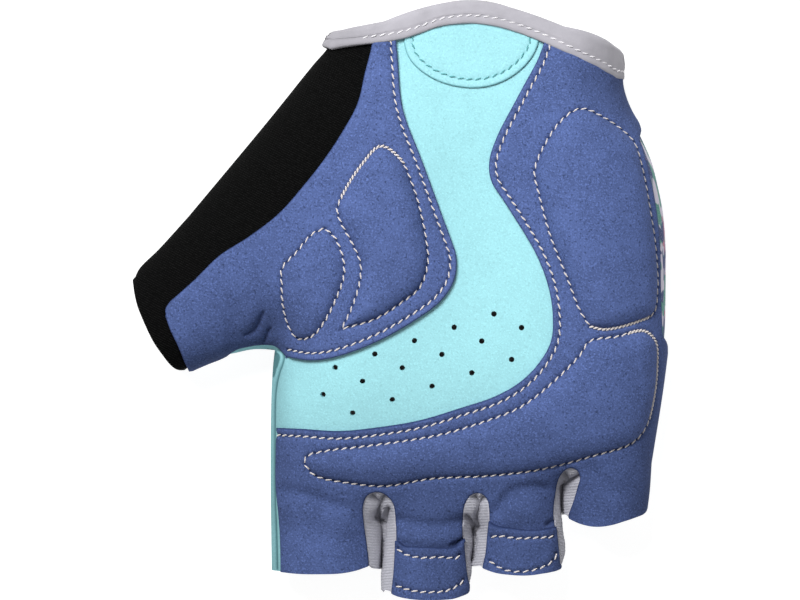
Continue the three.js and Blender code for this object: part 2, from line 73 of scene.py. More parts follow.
# Swellings of the palm: x, y, spread across, spread along, height
SWELLINGS = (
    (-6.0, 14.0, 16.0, 24.0, 3.0),  # ball of the thumb
    (45.0, 18.0, 14.0, 26.0, 2.5),  # heel of the hand
    (16.0, 23.0, 14.0, 26.0, -1.5),  # hollow of the palm
    (-30.0, -9.0, 8.0, 8.0, -5.0),  # web of the thumb
)

# The seam between palm and back climbs onto the palm along the heel of the hand. This is the
# suede's edge there.
HEEL_EDGE = ((52.6, 46.5), (53.5, 42.8), (54.4, 40), (55.4, 36.4), (56.5, 32.4), (57.6, 28.3),
             (58.5, 23.7), (59.2, 19.1), (59.7, 14.5), (60, 9.2), (60.1, 2.3), (60.3, -3.5),
             (60.6, -9.2), (61, -14), (61.4, -17.5), (61.6, -21))

# The lines between the fingers, from the cuff. At its fork a line parts into two fingers' sides.
SIDE_LINES = (
    {
        "shared": ((-14.1, 62.6), (-15.3, 60.4), (-16.6, 58.3), (-17.8, 56.8), (-19.6, 54.8),
                   (-30.4, 41.4), (-48.8, 19.3)),
        "after": ((-48.8, 19.3), (-55.7, 11.7), (-60.2, 7.2), (-61.4, 4.6)),
    },
    {
        "shared": ((-3.2, 64.3), (-5.1, 46), (-10.3, 25.3), (-19.6, 2.3), (-28.9, -11.6)),
        "before": ((-28.9, -11.6), (-30.6, -11.4), (-34, -11.4), (-38.9, -12.4), (-42.1, -12.9),
                   (-44, -13.4), (-46, -14.2), (-49.8, -15.9)),
        "after": ((-28.9, -11.6), (-29.3, -15.2), (-29.7, -23), (-29.85, -41.4), (-29.6, -62.3)),
    },
    {
        "shared": ((11.5, 68.7), (9.7, 41.4), (4.6, 11.5), (-0.9, -23), (-4.6, -49.9)),
        "before": ((-4.6, -49.9), (-4.7, -55.2), (-4.5, -61.9)),
        "after": ((-4.6, -49.9), (-4, -55.2), (-3.9, -66.5)),
    },
    {
        "shared": ((24.8, 67.6), (24.6, 41.4), (22.1, 11.5), (19.3, -23), (17.1, -52.2)),
        "before": ((17.1, -52.2), (16.4, -57.5), (16.1, -61.5), (15.9, -63.7), (15.5, -65.3)),
        "after": ((17.1, -52.2), (16.8, -57.5), (16.7, -61.4)),
    },
    {
        "shared": ((37.5, 63.1), (38.6, 34.5), (39.1, 4.6), (38.6, -23), (37.6, -42.1)),
        "before": ((37.6, -42.1), (37.2, -47), (36.9, -50.5), (37.1, -53.4), (37.6, -56.5),
                   (37.5, -58.6), (36.9, -60.5)),
        "after": ((37.6, -42.1), (37.5, -46), (37.8, -49.5)),
    },
    {
        "shared": ((50.3, 58.6), (50.2, 54), (50.3, 49.5), (51.2, 46), (52.6, 42.8), (54.3, 40),
                   (55.7, 37.3), (58.1, 31.7), (59.5, 26.2), (60.6, 20.7), (61.3, 12.4),
                   (61.3, 3), (61.1, -7), (60.3, -14.5), (59.3, -21.9), (56.8, -37.5)),
        "before": ((56.8, -37.5), (56.4, -43.7), (55.9, -47.8)),
    },
)

# How far each finger's end curves out, thumb first: share of the way across and distance out
END_CURVES = (
    ((0, 0), (0.06, 0.5), (0.13, 1.1), (0.245, 1.85), (0.37, 2.25), (0.5, 2.55), (0.63, 2.7),
     (0.77, 2.45), (0.91, 1.95), (0.97, 1.2), (1, 0)),
    ((0, 0), (0.07, 0.1), (0.26, 0.6), (0.44, 0.7), (0.63, 0.6), (0.765, 0), (0.857, -0.8),
     (0.892, -1.1), (0.925, -0.3), (1, 0)),
    ((0, 0), (0.1, 0.5), (0.2, 1.5), (0.31, 2.2), (0.49, 2.8), (0.66, 2.8), (0.78, 2.5), (0.89, 1.6),
     (0.98, 0.4), (1, 0)),
    ((0, 0), (0.11, -0.2), (0.19, 0.5), (0.3, 1.4), (0.42, 1.85), (0.53, 2.05), (0.65, 1.95),
     (0.76, 1.55), (0.88, 0.9), (1, 0)),
    ((0, 0), (0.045, -0.3), (0.1, 0.7), (0.2, 1.9), (0.33, 2.8), (0.45, 3.05), (0.58, 2.8),
     (0.71, 2.25), (0.83, 1.75), (0.96, 1), (1, 0)),
)
CUFF_BOWS = (-0.2, 0.5, 0.9, 0.2, 0.6)  # how far the cuff curves out from one line to the next
EDGE_RUN_ON = 30.0  # how far the sides count as running on past the openings

# Edges of the panels in plan, as the eye sees them from above
FAR = 95.0  # edges that close outside the mitt run on to here
WIPE_EDGE = ((-6.4, 66), (-6.4, 59.1), (-8.1, 51.8), (-9.7, 44.9), (-12.7, 39.1), (-17.2, 32.2),
             (-21.9, 26.2), (-27.6, 19.8), (-34.5, 14.5), (-41.4, 10.1), (-47.1, 4.6),
             (-50.9, 1.2), (-52.9, -0.6), (-53.8, -2.2), (-53.7, -3.6), (-58, -6))
HEM_EDGE = ((-66, 8), (-61, 5.2), (-59.1, 3.9), (-57, 2.2), (-54.6, -0.8), (-53.9, -3.2),
            (-52.7, -6.7), (-50.8, -10.8), (-49.5, -14.3), (-48.3, -17.9), (-47.4, -21))
THENAR_EDGE = ((-0.9, 66), (-0.9, 60), (-0.5, 54.7), (0.2, 46), (1.3, 41.4), (4.9, 32.2),
               (10, 18.4), (11.7, 13.8), (12.9, 9.7), (12.4, 4.6), (9.4, -0.2), (2.8, -5.1),
               (-5.8, -9.8), (-15, -13.1), (-20.7, -13.8), (-26.4, -13))
CROTCH_EDGE = ((-26.4, -13), (-27.6, -11.7), (-29.1, -10.7), (-31.3, -10.5), (-33.4, -10.6),
               (-35.2, -10.9), (-37, -11.3), (-38.9, -12.1), (-41, -13.6), (-46, -18))
PALM_EDGE = ((33, 66), (32.9, 59.3), (31.3, 54.7), (28.5, 49.5), (25.5, 43.9), (22.3, 37.7),
             (20.4, 32), (20.7, 27.4), (23.8, 22.3), (27.6, 16.3), (31.1, 10.1), (33.6, 3.5),
             (34.7, -2.8), (34.4, -9.2), (31.7, -14.3), (27.6, -18.6), (21.9, -22), (13.8, -24.8),
             (4.6, -27.6), (-4.6, -29.2), (-13.8, -30.1), (-23, -29.6), (-28.6, -29.4))
INDEX_EDGE = ((-28.6, -29.4), (-28.8, -36.8), (-28.8, -42.6), (-28.1, -49.5), (-27.7, -56.4),
              (-27.6, -66))
PATCH_ARC = ((0.6, 66), (0.8, 60.7), (1.2, 57.5), (2.3, 55), (4.8, 52.4), (8.7, 50.1), (12.7, 48.9),
             (16.6, 48.5), (20.7, 49), (24.8, 50.7), (28.5, 53.6), (30.8, 56.8), (31.7, 59.8),
             (31.8, 66))
TAPE_EDGE = ((-24, 56.6), (-18.9, 57.5), (-16.1, 58.3), (-11.5, 58.7), (-6.4, 59.1), (0, 60),
             (4.6, 61.4), (9.2, 63), (15, 63.7), (18.4, 63.6), (23, 62.8), (27.6, 61.4),
             (32.2, 59.6), (36.8, 57.5), (41.4, 55.4), (46, 53.4), (51.1, 50.6), (56, 48))
NOTCHES = (
    ((-7, -72), (-7, -60.5), (-7.6, -55.2), (-8.2, -50.6), (-8.4, -47.4), (-7.6, -45.1),
     (-6.2, -44.2), (-4.4, -44.2), (-2.8, -45.2), (-1.6, -46.9), (-1.2, -49.7), (-1, -55.2),
     (-1.3, -62.1), (-1.8, -67.2), (-2.2, -75)),
    ((15.6, -75), (15.5, -65.8), (15, -61), (14.6, -56.4), (14.5, -50.6), (14.8, -47.1),
     (15.9, -45.1), (17.2, -44.3), (18.9, -44.6), (20, -46), (20.4, -48.8), (20.2, -53.4),
     (19.8, -58), (19.1, -61.4), (18.2, -70)),
    ((36.7, -72), (36.6, -61), (36.3, -57.6), (35.8, -52.8), (35.4, -48.8), (35.9, -44.4),
     (36.6, -40.9), (37.7, -39.2), (39.1, -38.6), (40.5, -39.2), (41.1, -40.7), (40.4, -43.5),
     (39.4, -46.9), (38.5, -49.7), (38.6, -54), (38.6, -60)),
)

# Padded cells: how high the foam stands, the stretch of its seam that is sewn twice, as shares, and
# the stitched outline, from corner to corner
PADS = (
    {
        "height": 2.0,
        "twice": (0.30, 0.52),
        "outline": ((-13.3, -6.6), (-11, -1.8), (-9.2, 3.9), (-9, 8.3), (-10.8, 12.7), (-13.6, 17.9),
                    (-14.3, 20.7), (-12.7, 24.6), (-8.7, 30.8), (-4.4, 35), (0, 32.2), (2.8, 26.5),
                    (4.6, 20.7), (6, 13.8), (6.4, 8.7), (4.6, 3), (0.5, -0.5), (-5.8, -4.4)),
    },
    {
        "height": 1.7,
        "twice": None,
        "outline": ((-17.2, 16.3), (-15, 14.3), (-13.1, 9.9), (-12.8, 5.5), (-14.5, 0.5),
                    (-17.5, -5.3), (-20.2, -8.3), (-23.5, -8.9), (-25.5, -6.4), (-26.8, -1.2),
                    (-27, 3.5), (-26.9, 7.1), (-23.5, 11), (-20, 15)),
    },
    {
        "height": 2.0,
        "twice": (0.88, 1.0),
        "outline": ((43.2, -6), (40.9, -2.3), (38.2, 4.6), (34.3, 14.3), (31.5, 24.6), (30.6, 29),
                    (31.7, 32.9), (36.1, 40.2), (39.8, 43.2), (42.3, 43.6), (46, 42.1), (50.6, 39.3),
                    (53.8, 36.1), (55.7, 29.9), (57.5, 20.2), (58.9, 10.3), (59.2, 2.3), (58.2, -3),
                    (54.7, -4.8), (46.7, -6.7)),
    },
    {
        "height": 1.8,
        "twice": (0.42, 0.57),
        "outline": ((-22, -37.5), (-21.4, -35.8), (-17.2, -34.6), (-9.2, -33.6), (0, -32.4),
                    (9.2, -30.8), (18.4, -28.1), (27.6, -24.4), (34.5, -19.1), (40.9, -12.7),
                    (43.2, -9.5), (49.5, -8.4), (55.9, -7.1), (58.7, -9.4), (59.2, -15), (58.4, -23),
                    (56.6, -29.2), (53.4, -32.7), (43.7, -35.8), (33.4, -38.6), (20.7, -40.2),
                    (6.9, -40.9), (-3.5, -42.6), (-11.5, -41.9), (-19.6, -40.1)),
    },
)

# Upper edges of the pull tabs at the ends of the middle and ring fingers
TAB_TOPS = (
    ((-3, -55.4), (-0.9, -55.4), (0.7, -56.4), (3.5, -56.6), (6.9, -56.7), (10.4, -56.9),
     (12.7, -56.6), (14.3, -55.3), (17, -54.6)),
    ((18, -50.8), (20, -51.3), (21.9, -51.9), (25.3, -52.3), (28.8, -52.7), (32.2, -52.7),
     (35.2, -52.2), (38.5, -52)),
)
TAB_STANDS = 2.6  # how far their faces stand off the skin

# Rows of stitches across the pull tabs
TAB_SEAMS = (
    ((-0.9, -56.8), (0.2, -57.7), (1.8, -58.5), (4.6, -59), (6.9, -59), (9.2, -58.9), (11.5, -59.1),
     (13.1, -59.1), (13.9, -58.4)),
    ((-1.2, -65.4), (1.2, -66.2), (3.5, -66.7), (5.8, -66.9), (8.1, -66.9), (10.4, -66.7),
     (12, -66.2), (13.8, -65.2), (14.9, -64.2)),
    ((20.6, -54.3), (23, -54.1), (25.3, -54.4), (27.6, -54.6), (29.9, -54.5), (32.2, -54.4),
     (34, -54.4), (35.5, -54.1)),
    ((20.2, -59.6), (21.2, -60.3), (23, -61.4), (25.3, -62.1), (27.6, -62.2), (29.9, -62),
     (32.2, -61.4), (34, -60.7), (35.6, -59.3), (36.2, -58)),
)

# Air holes in the palm: the first hole of each slanted row and how many it has
HOLE_RADIUS = 0.64
HOLE_STEP = (9.06, 3.06)
HOLE_ROWS = (((-14.8, -15.4), 5), ((-17.6, -21.6), 6), ((-10.8, -25.8), 5))
HOLE_SIDES = 14


def ramp(value):
    """0 below 0, 1 above 1, and smooth between."""
    t = np.clip(value, 0.0, 1.0)
    return t * t * (3.0 - 2.0 * t)


def share(stretch, value):
    """How far a value is along a stretch, as a smooth share."""
    return ramp((value - stretch[0]) / (stretch[1] - stretch[0]))


def hump(x, y, at_x, at_y, across, down):
    """A smooth hump in plan, 1 at its middle."""
    return np.exp(-(((x - at_x) / across) ** 2) - ((y - at_y) / down) ** 2)


def run_along(path):
    """The length of a path up to each of its points."""
    return np.concatenate(((0.0,), np.cumsum(np.linalg.norm(np.diff(path, axis=0), axis=1))))


def between(values, known, wanted):
    """Rows of values that are known at some places, read at the wanted ones."""
    return np.column_stack([np.interp(wanted, known, column) for column in values.T])


def evenly(fine, step):
    """Points an even distance apart, about step, along a close-set line."""
    run = run_along(fine)
    return between(fine, run, np.linspace(0.0, run[-1], max(1, round(run[-1] / step)) + 1))


CURVE_STEPS = 24  # points of a curve between two given ones, before it is spread evenly


def smooth_line(points, step):
    """Points about step apart on a centripetal Catmull-Rom curve through the given points."""
    given = np.array(points, float)
    if len(given) == 2:
        return evenly(given, step)
    knots = np.vstack((2 * given[0] - given[1], given, 2 * given[-1] - given[-2]))
    t = np.linspace(0.0, 1.0, CURVE_STEPS, endpoint=False)[:, None]
    found = []
    for p0, p1, p2, p3 in zip(knots, knots[1:], knots[2:], knots[3:]):
        d0, d1, d2 = (math.sqrt(np.linalg.norm(b - a)) for a, b in ((p0, p1), (p1, p2), (p2, p3)))
        m1 = d1 * ((p1 - p0) / d0 - (p2 - p0) / (d0 + d1) + (p2 - p1) / d1)
        m2 = d1 * ((p2 - p1) / d1 - (p3 - p1) / (d1 + d2) + (p3 - p2) / d2)
        cubic = 2 * (p1 - p2) + m1 + m2
        square = 3 * (p2 - p1) - 2 * m1 - m2
        found.append(p1 + m1 * t + square * t**2 + cubic * t**3)
    return evenly(np.vstack(found + [given[-1:]]), step)


def cut_line(points):
    """A smooth line, as close-set as the meshes are cut along."""
    return smooth_line(points, LINE_STEP)


def left_of(line):
    """Unit directions to the left of a line, one for each of its points."""
    along = np.gradient(line, axis=0)
    along /= np.linalg.norm(along, axis=1)[:, None]
    return np.column_stack((-along[:, 1], along[:, 0]))


def beside(line, start, end=None):
    """The line moved to its left, by start at its first point and end at its last."""
    reach = np.linspace(start, start if end is None else end, len(line))
    return line + left_of(line) * reach[:, None]


# The sides of the fingers, the openings and the cuff, as one outline of the mitt in plan, and the
# distances between the points of its sides and of its finger ends
SIDE_STEP = 0.8
END_STEP = 0.6
LAST_SIDE = len(SIDE_LINES) - 1


@lru_cache(maxsize=None)
def side(index, name):
    """One finger's side from the cuff to its end, and the number of its fork point."""
    line = SIDE_LINES[index]
    shared = smooth_line(line["shared"], SIDE_STEP)
    return np.vstack((shared, smooth_line(line[name], SIDE_STEP)[1:])), len(shared) - 1


def right_of(a, b):
    """The unit direction to the right of the way from a to b."""
    return np.array((b[1] - a[1], a[0] - b[0])) / np.linalg.norm(b - a)


def bowed(a, b, bow):
    """Points from a to b on a curve that stands out to the right by bow in the middle."""
    s = np.linspace(0.0, 1.0, max(2, round(np.linalg.norm(b - a) / SIDE_STEP)) + 1)[:, None]
    return a + (b - a) * s + right_of(a, b) * 4 * s * (1 - s) * bow


@lru_cache(maxsize=None)
def open_sides():
    """The runs of side that are open to the air, with how much each counts."""
    runs = []
    for index, parts in enumerate(SIDE_LINES):
        outer = index in (0, LAST_SIDE)
        for name in ("before", "after"):
            if name in parts:
                line, fork = side(index, name)
                runs.append((line if outer else line[fork:], 1.0 if outer or index == 1 else 0.5))
    return runs


@lru_cache(maxsize=None)
def stretches():
    """The open sides' straight stretches, run on past the openings: start, end and weight."""
    found = []
    for line, weight in open_sides():
        last = line[-1] - line[-2]
        whole = np.vstack((line, line[-1] + last / np.linalg.norm(last) * EDGE_RUN_ON))
        found += [(a, b, weight) for a, b in zip(whole, whole[1:])]
    return found


def from_side(xy):
    """Smooth distance from the open sides. Beside one straight side it is the true distance."""
    total = np.zeros(len(xy))
    for a, b, weight in stretches():
        length = math.hypot(*(b - a))
        ux, uy = (b - a) / length
        rx = xy[:, 0] - a[0]
        ry = xy[:, 1] - a[1]
        along = rx * ux + ry * uy
        beyond = length - along
        off = np.maximum(1e-6, (rx * uy - ry * ux) ** 2)
        total += weight / off * (beyond / np.sqrt(off + beyond**2) + along / np.sqrt(off + along**2))
    return np.sqrt(2.0 / total)


def roundness(t):
    """Quarter round: rises steeply at 0 and levels out at 1."""
    return np.sqrt(1.0 - (1.0 - np.clip(t, 0.0, 1.0)) ** 2)


def palm_height(xy):
    """Height of the skin on the palm side."""
    x, y = xy[:, 0], xy[:, 1]
    rise = FINGER_RISE + (PALM_RISE - FINGER_RISE) * share(FINGERS_TO_PALM, y)
    rise -= CUFF_DROP * share(PALM_TO_CUFF, y) + THUMB_DROP * share(PALM_TO_THUMB, x)
    for *swelling, height in SWELLINGS:
        rise += height * hump(x, y, *swelling)
    return SIDE_HEIGHT + rise * roundness(from_side(xy) / PALM_ROUND)


def back_height(xy):
    """Height of the skin on the back of the hand."""
    lift = CUFF_LIFT * share(BACK_TO_CUFF, xy[:, 1])
    return SIDE_HEIGHT - (SIDE_HEIGHT - lift) * roundness(from_side(xy) / BACK_ROUND)


SLOPE_STEP = 0.04  # distance over which a surface's slope is taken


def normal_on(height, xy):
    """Upward directions of a height function's surface."""
    steps = np.eye(2) * SLOPE_STEP
    slope = [(height(xy + step) - height(xy - step)) / (2 * SLOPE_STEP) for step in steps]
    normal = np.column_stack((-slope[0], -slope[1], np.ones(len(xy))))
    return normal / np.linalg.norm(normal, axis=1)[:, None]


# An edge is given where the eye sees it, on suede that stands off the skin. This is its foot on
# the skin, which the meshes are cut along. Near the open side the edge is left as given.
EDGE_STANDS = 1.3
FOOT_REACH = 1.6
FOOT_ROUNDS = 4  # each round brings the foot closer to its true place


def foot(line, stands=EDGE_STANDS):
    """The place on the skin, in plan, of a line that is seen on suede above it."""
    found = line
    for _ in range(FOOT_ROUNDS):
        rise = (stands + folds(found)) * ramp(from_side(found) / FOOT_REACH)
        found = line - normal_on(palm_height, found)[:, :2] * rise[:, None]
    return found


def inside(polygon, xy):
    """Which points lie inside a closed outline."""
    x, y = xy[:, 0], xy[:, 1]
    hit = np.zeros(len(xy), bool)
    for (ax, ay), (bx, by) in zip(polygon, np.roll(polygon, -1, axis=0)):
        if ay == by:
            continue
        level = (ay > y) != (by > y)
        hit[level] ^= x[level] < ax + (y[level] - ay) * (bx - ax) / (by - ay)
    return hit


def distance_to(line, xy, reach):
    """Distance from each point to a line, or reach where it is further."""
    found = np.full(len(xy), float(reach))
    low, high = line.min(0) - reach, line.max(0) + reach
    near = np.flatnonzero(((xy > low) & (xy < high)).all(axis=1))
    if not len(near):
        return found
    spot = xy[near]
    best = np.full(len(near), float(reach) ** 2)
    for a, b in zip(line[:-1], line[1:]):
        leg = b - a
        t = np.clip((spot - a) @ leg / max(1e-12, leg @ leg), 0.0, 1.0)
        gap = spot - a - t[:, None] * leg
        best = np.minimum(best, (gap * gap).sum(axis=1))
    found[near] = np.sqrt(best)
    return found


# Lines that the cloth is cut and stitched along
LINE_STEP = 0.55
TAPE_LAP = 2.0  # how far the base runs on under the cuff's tape
PALM_SPACING = 0.85
BACK_SPACING = 1.3


@lru_cache(maxsize=None)
def edge_lines():
    """The panel edges as close-set lines on the skin, by name."""
    lines = {
        "wipe": foot(cut_line(WIPE_EDGE)),
        "hem": foot(cut_line(HEM_EDGE)),
        "thenar": foot(cut_line(THENAR_EDGE)),
        "crotch": foot(cut_line(CROTCH_EDGE), EDGE_STANDS - CROTCH_HELD),
        "palm": foot(cut_line(PALM_EDGE)),
        "index": foot(cut_line(INDEX_EDGE)),
        "patch": foot(cut_line(PATCH_ARC)),
        "tape": foot(cut_line(TAPE_EDGE)),
        "under_tape": beside(cut_line(TAPE_EDGE), TAPE_LAP),
        "heel": foot(cut_line(HEEL_EDGE)),
    }
    lines.update({f"notch{number}": foot(cut_line(notch)) for number, notch in enumerate(NOTCHES)})
    lines.update({f"tab{number}": foot(cut_line(top), TAB_STANDS) for number, top in enumerate(TAB_TOPS)})
    return lines


@lru_cache(maxsize=None)
def back_lines():
    """The edges that the back is cut along, by name."""
    lines = {"wipe": cut_line(WIPE_EDGE), "hem": cut_line(HEM_EDGE)}
    lines.update({f"notch{number}": cut_line(notch) for number, notch in enumerate(NOTCHES)})
    return lines


def below(line):
    """Far corners straight below a line's two ends."""
    return (line[-1][0], -FAR), (line[0][0], -FAR)


# What each edge cuts off: the lines of its outline and the far corners that close it
REGIONS = {
    "wipe": (("wipe",), ((-FAR, -6), (-FAR, FAR), (-6.4, FAR))),
    "hem": (("hem",), ((-FAR, -21), (-FAR, 8))),
    "thenar": (("thenar", "crotch"), ((-FAR, -18), (-FAR, 66))),
    "outer": (("palm", "index"), ((-27.6, -FAR), (FAR, -FAR), (FAR, 66))),
    "patch": (("patch",), ()),
    "cuff": (("tape",), ((FAR, 48), (FAR, FAR), (-FAR, FAR), (-FAR, 56.6))),
    "under": (("under_tape",), ((FAR, 48), (FAR, FAR), (-FAR, FAR), (-FAR, 58))),
    "heel": (("heel",), ((FAR, HEEL_EDGE[-1][1]), (FAR, HEEL_EDGE[0][1]))),
    **{f"notch{number}": ((f"notch{number}",), below(notch)) for number, notch in enumerate(NOTCHES)},
    **{f"tab{number}": ((f"tab{number}",), below(top)) for number, top in enumerate(TAB_TOPS)},
}


def cut_off(name, edges, xy):
    """Which points lie in a region whose outline is made of the given edges."""
    names, corners = REGIONS[name]
    outline = [edges[edge] for edge in names] + [np.array(corners, float).reshape(-1, 2)]
    return inside(np.vstack(outline), xy)


@lru_cache(maxsize=None)
def cuff_line():
    """The cuff's edge in plan, from the thumb's side to the little finger's."""
    starts = [side(column, "after")[0][0] for column in range(LAST_SIDE)]
    starts.append(side(LAST_SIDE, "before")[0][0])
    bows = [bowed(a, b, -bow)[:-1] for a, b, bow in zip(starts, starts[1:], CUFF_BOWS)]
    return np.vstack(bows + [starts[-1:]])


@lru_cache(maxsize=None)
def end_lines():
    """The open ends of the fingers, thumb first."""
    found = []
    for column, curve in enumerate(END_CURVES):
        a, b = side(column, "after")[0][-1], side(column + 1, "before")[0][-1]
        out = right_of(a, b)
        found.append(smooth_line([a + (b - a) * way + out * reach for way, reach in curve], END_STEP))
    return found


@lru_cache(maxsize=None)
def plan_outline():
    """The mitt's closed outline in plan."""
    rims = []
    for column, end in enumerate(end_lines()):
        left, left_fork = side(column, "after")
        right, right_fork = side(column + 1, "before")
        down = left if column == 0 else left[left_fork:]
        up = (right if column + 1 == LAST_SIDE else right[right_fork:])[::-1]
        rims += [down[:-1], end[:-1], up[:-1]]
    return np.vstack(rims + [cuff_line()[:0:-1]])


# Seams beside the panels' edges: how far they lie from the edge, to its left if positive. The
# thenar's distance changes from its start to its end.
SEAM_STEP = 0.3
THENAR_SEAM = (-1.3, -1.65)
PALM_SEAM = 1.6
PATCH_SEAM = 1.9


@lru_cache(maxsize=None)
def seams():
    """Each stitched seam: its line on the skin, its thread and the stretch sewn twice, as shares."""
    found = {
        "thenar": (beside(smooth_line(THENAR_EDGE[1:], SEAM_STEP), *THENAR_SEAM), "palm", None),
        "palm": (beside(smooth_line(PALM_EDGE[1:], SEAM_STEP), PALM_SEAM), "palm", None),
        "patch": (beside(smooth_line(PATCH_ARC[1:-1], SEAM_STEP), PATCH_SEAM), "patch", None),
    }
    for number, pad in enumerate(PADS):
        outline = smooth_line(pad["outline"] + pad["outline"][:1], SEAM_STEP)
        found[f"pad{number}"] = (outline, "palm", pad["twice"])
    for number, row in enumerate(TAB_SEAMS):
        found[f"tab{number}"] = (smooth_line(row, SEAM_STEP), "tab", None)
    return {
        name: {
            "line": foot(line, TAB_STANDS if thread == "tab" else EDGE_STANDS),
            "thread": thread,
            "twice": twice,
        }
        for name, (line, thread, twice) in found.items()
    }


# Rows of points beside a cut edge, beside a seam and up the rounded sides
EDGE_ROWS = (0.12, 0.3, 0.58, 1.0)
SEAM_ROWS = (0.25, 0.55, 0.95, 1.45)
SIDE_ROWS = tuple((0.2 * row) ** 2 for row in range(1, 11))
ROW_STEP = 0.6
ROW_ROOM = 0.8  # least room round a row's point, as a share of the gap to the row before
FILL_ROOM = 0.62  # the same for the points between the rows, as a share of their spacing
EVEN_ROWS = 0.87  # distance between the rows of even triangles, as a share of their sides
SLIVER = 1e-7  # triangles with less than half this area are left out


def tree_of(spots, numbers):
    """A search tree over points in plan that gives back their numbers."""
    tree = KDTree(len(spots))
    for (x, y), number in zip(spots, numbers):
        tree.insert((x, y, 0.0), number)
    tree.balance()
    return tree


def plan_mesh(edges, stitched, spacing):
    """Triangles over the mitt's outline, cut along the given lines, with closer rows beside them."""
    outline = plan_outline()
    loop = np.arange(len(outline))
    points = [outline]
    joined = [np.column_stack((loop, np.roll(loop, -1)))]
    count = len(outline)
    for line in edges + stitched:
        number = np.arange(count, count + len(line))
        points.append(line)
        joined.append(np.column_stack((number[:-1], number[1:])))
        count += len(line)
    rims = [cuff_line()] + end_lines()
    sides = [line for line, _ in open_sides()]
    rows = {}
    for lines, gaps in ((edges + rims, EDGE_ROWS), (stitched, SEAM_ROWS), (sides, SIDE_ROWS)):
        for last, gap in zip((0.0,) + gaps, gaps):
            group = rows.setdefault((gap, ROW_ROOM * (gap - last)), [])
            for line in lines:
                spread = evenly(line, ROW_STEP) if gap > EDGE_ROWS[0] else line
                group += [beside(spread, gap), beside(spread, -gap)]
    low, high = outline.min(0), outline.max(0)
    across = np.arange(low[0], high[0], spacing)
    xs, ys = np.meshgrid(across, np.arange(low[1], high[1], spacing * EVEN_ROWS))
    xs[1::2] += spacing / 2
    rows[(FAR, FILL_ROOM * spacing)] = [np.column_stack((xs.ravel(), ys.ravel()))]
    kept = np.vstack(points)
    for (_, room), group in sorted(rows.items()):
        row = np.vstack(group or [kept[:0]])
        row = row[inside(outline, row)]
        _, first = np.unique(np.round(row / room), axis=0, return_index=True)
        row = row[np.sort(first)]
        tree = tree_of(kept, range(len(kept)))
        clear = [tree.find((x, y, 0.0))[2] > room for x, y in row]
        kept = np.vstack((kept, row[clear]))
    found = delaunay_2d_cdt([Vector(xy) for xy in kept], np.vstack(joined).tolist(), [], 0, 1e-5, False)
    xy = np.array([tuple(v) for v in found[0]])
    triangles = np.array(found[2])
    a, b, c = (xy[triangles[:, corner]] for corner in range(3))
    area = (b[:, 0] - a[:, 0]) * (c[:, 1] - a[:, 1]) - (b[:, 1] - a[:, 1]) * (c[:, 0] - a[:, 0])
    triangles[area < 0] = triangles[area < 0][:, ::-1]
    keep = inside(outline, (a + b + c) / 3) & (np.abs(area) > SLIVER)
    return xy, triangles[keep]


ON_SIDE = 0.004  # points this near to a side's line are put at the side's height
TWIN_GAP = 0.02  # points of the palm and the back this near to each other are one point


@lru_cache(maxsize=None)
def skin():
    """The whole skin: plan, places, outward directions, triangles and which of them are on the palm."""
    edges = list(edge_lines().values()) + hole_outlines()
    stitched = [seam["line"] for seam in seams().values()] + [cut_line(points) for points in CREASES]
    stitched += [cut_line(points) for points, width, _ in FOLDS if width < FINE_FOLD]
    stitched.append(cut_line(TURNED_LINE))
    front, front_faces = plan_mesh(edges, stitched, PALM_SPACING)
    rear, rear_faces = plan_mesh([*back_lines().values(), edge_lines()["under_tape"]], [], BACK_SPACING)
    xy = np.vstack((front, rear))
    z = np.concatenate((palm_height(front), back_height(rear)))
    for line, _ in open_sides():
        z[distance_to(line, xy, 2 * ON_SIDE) < ON_SIDE] = SIDE_HEIGHT
    on_side = np.flatnonzero(z == SIDE_HEIGHT)
    palms, backs = on_side[on_side < len(front)], on_side[on_side >= len(front)]
    tree = tree_of(xy[palms], palms.tolist())
    same = np.arange(len(xy))
    for number in backs:
        _, twin, gap = tree.find((*xy[number], 0.0))
        if twin is not None and gap < TWIN_GAP:
            same[number] = twin
    faces = same[np.vstack((front_faces, rear_faces[:, ::-1] + len(front)))]
    # A triangle with all its corners on the side lies on its twin, and both are left out
    _, which, times = np.unique(np.sort(faces, axis=1), axis=0, return_inverse=True, return_counts=True)
    single = times[which.ravel()] == 1
    palm = (np.arange(len(faces)) < len(front_faces))[single]
    faces = faces[single]
    places = np.column_stack((xy, z))
    a, b, c = (places[faces[:, corner]] for corner in range(3))
    across = np.cross(b - a, c - a)
    out = np.zeros_like(places)
    for corner in range(3):
        np.add.at(out, faces[:, corner], across)
    out /= np.maximum(1e-12, np.linalg.norm(out, axis=1))[:, None]
    middle = ((a + b + c) / 3)[:, :2]
    return {"xy": xy, "places": places, "out": out, "faces": faces, "palm": palm, "middle": middle}


def hole_outlines():
    """The rims of the air holes, closed lines on the skin."""
    turn = np.linspace(0.0, 2 * math.pi, HOLE_SIDES + 1)
    ring = np.column_stack((np.cos(turn), np.sin(turn))) * HOLE_RADIUS
    found = []
    for start, count in HOLE_ROWS:
        for number in range(count):
            middle = np.array(start) + np.array(HOLE_STEP) * number
            found.append(foot(middle[None], 0.0) + ring)
    return found


GUSSETS = ("gusset_index_middle", "gusset_middle_ring", "gusset_ring_little")
TABS = ("middle_pull_tab", "ring_pull_tab")


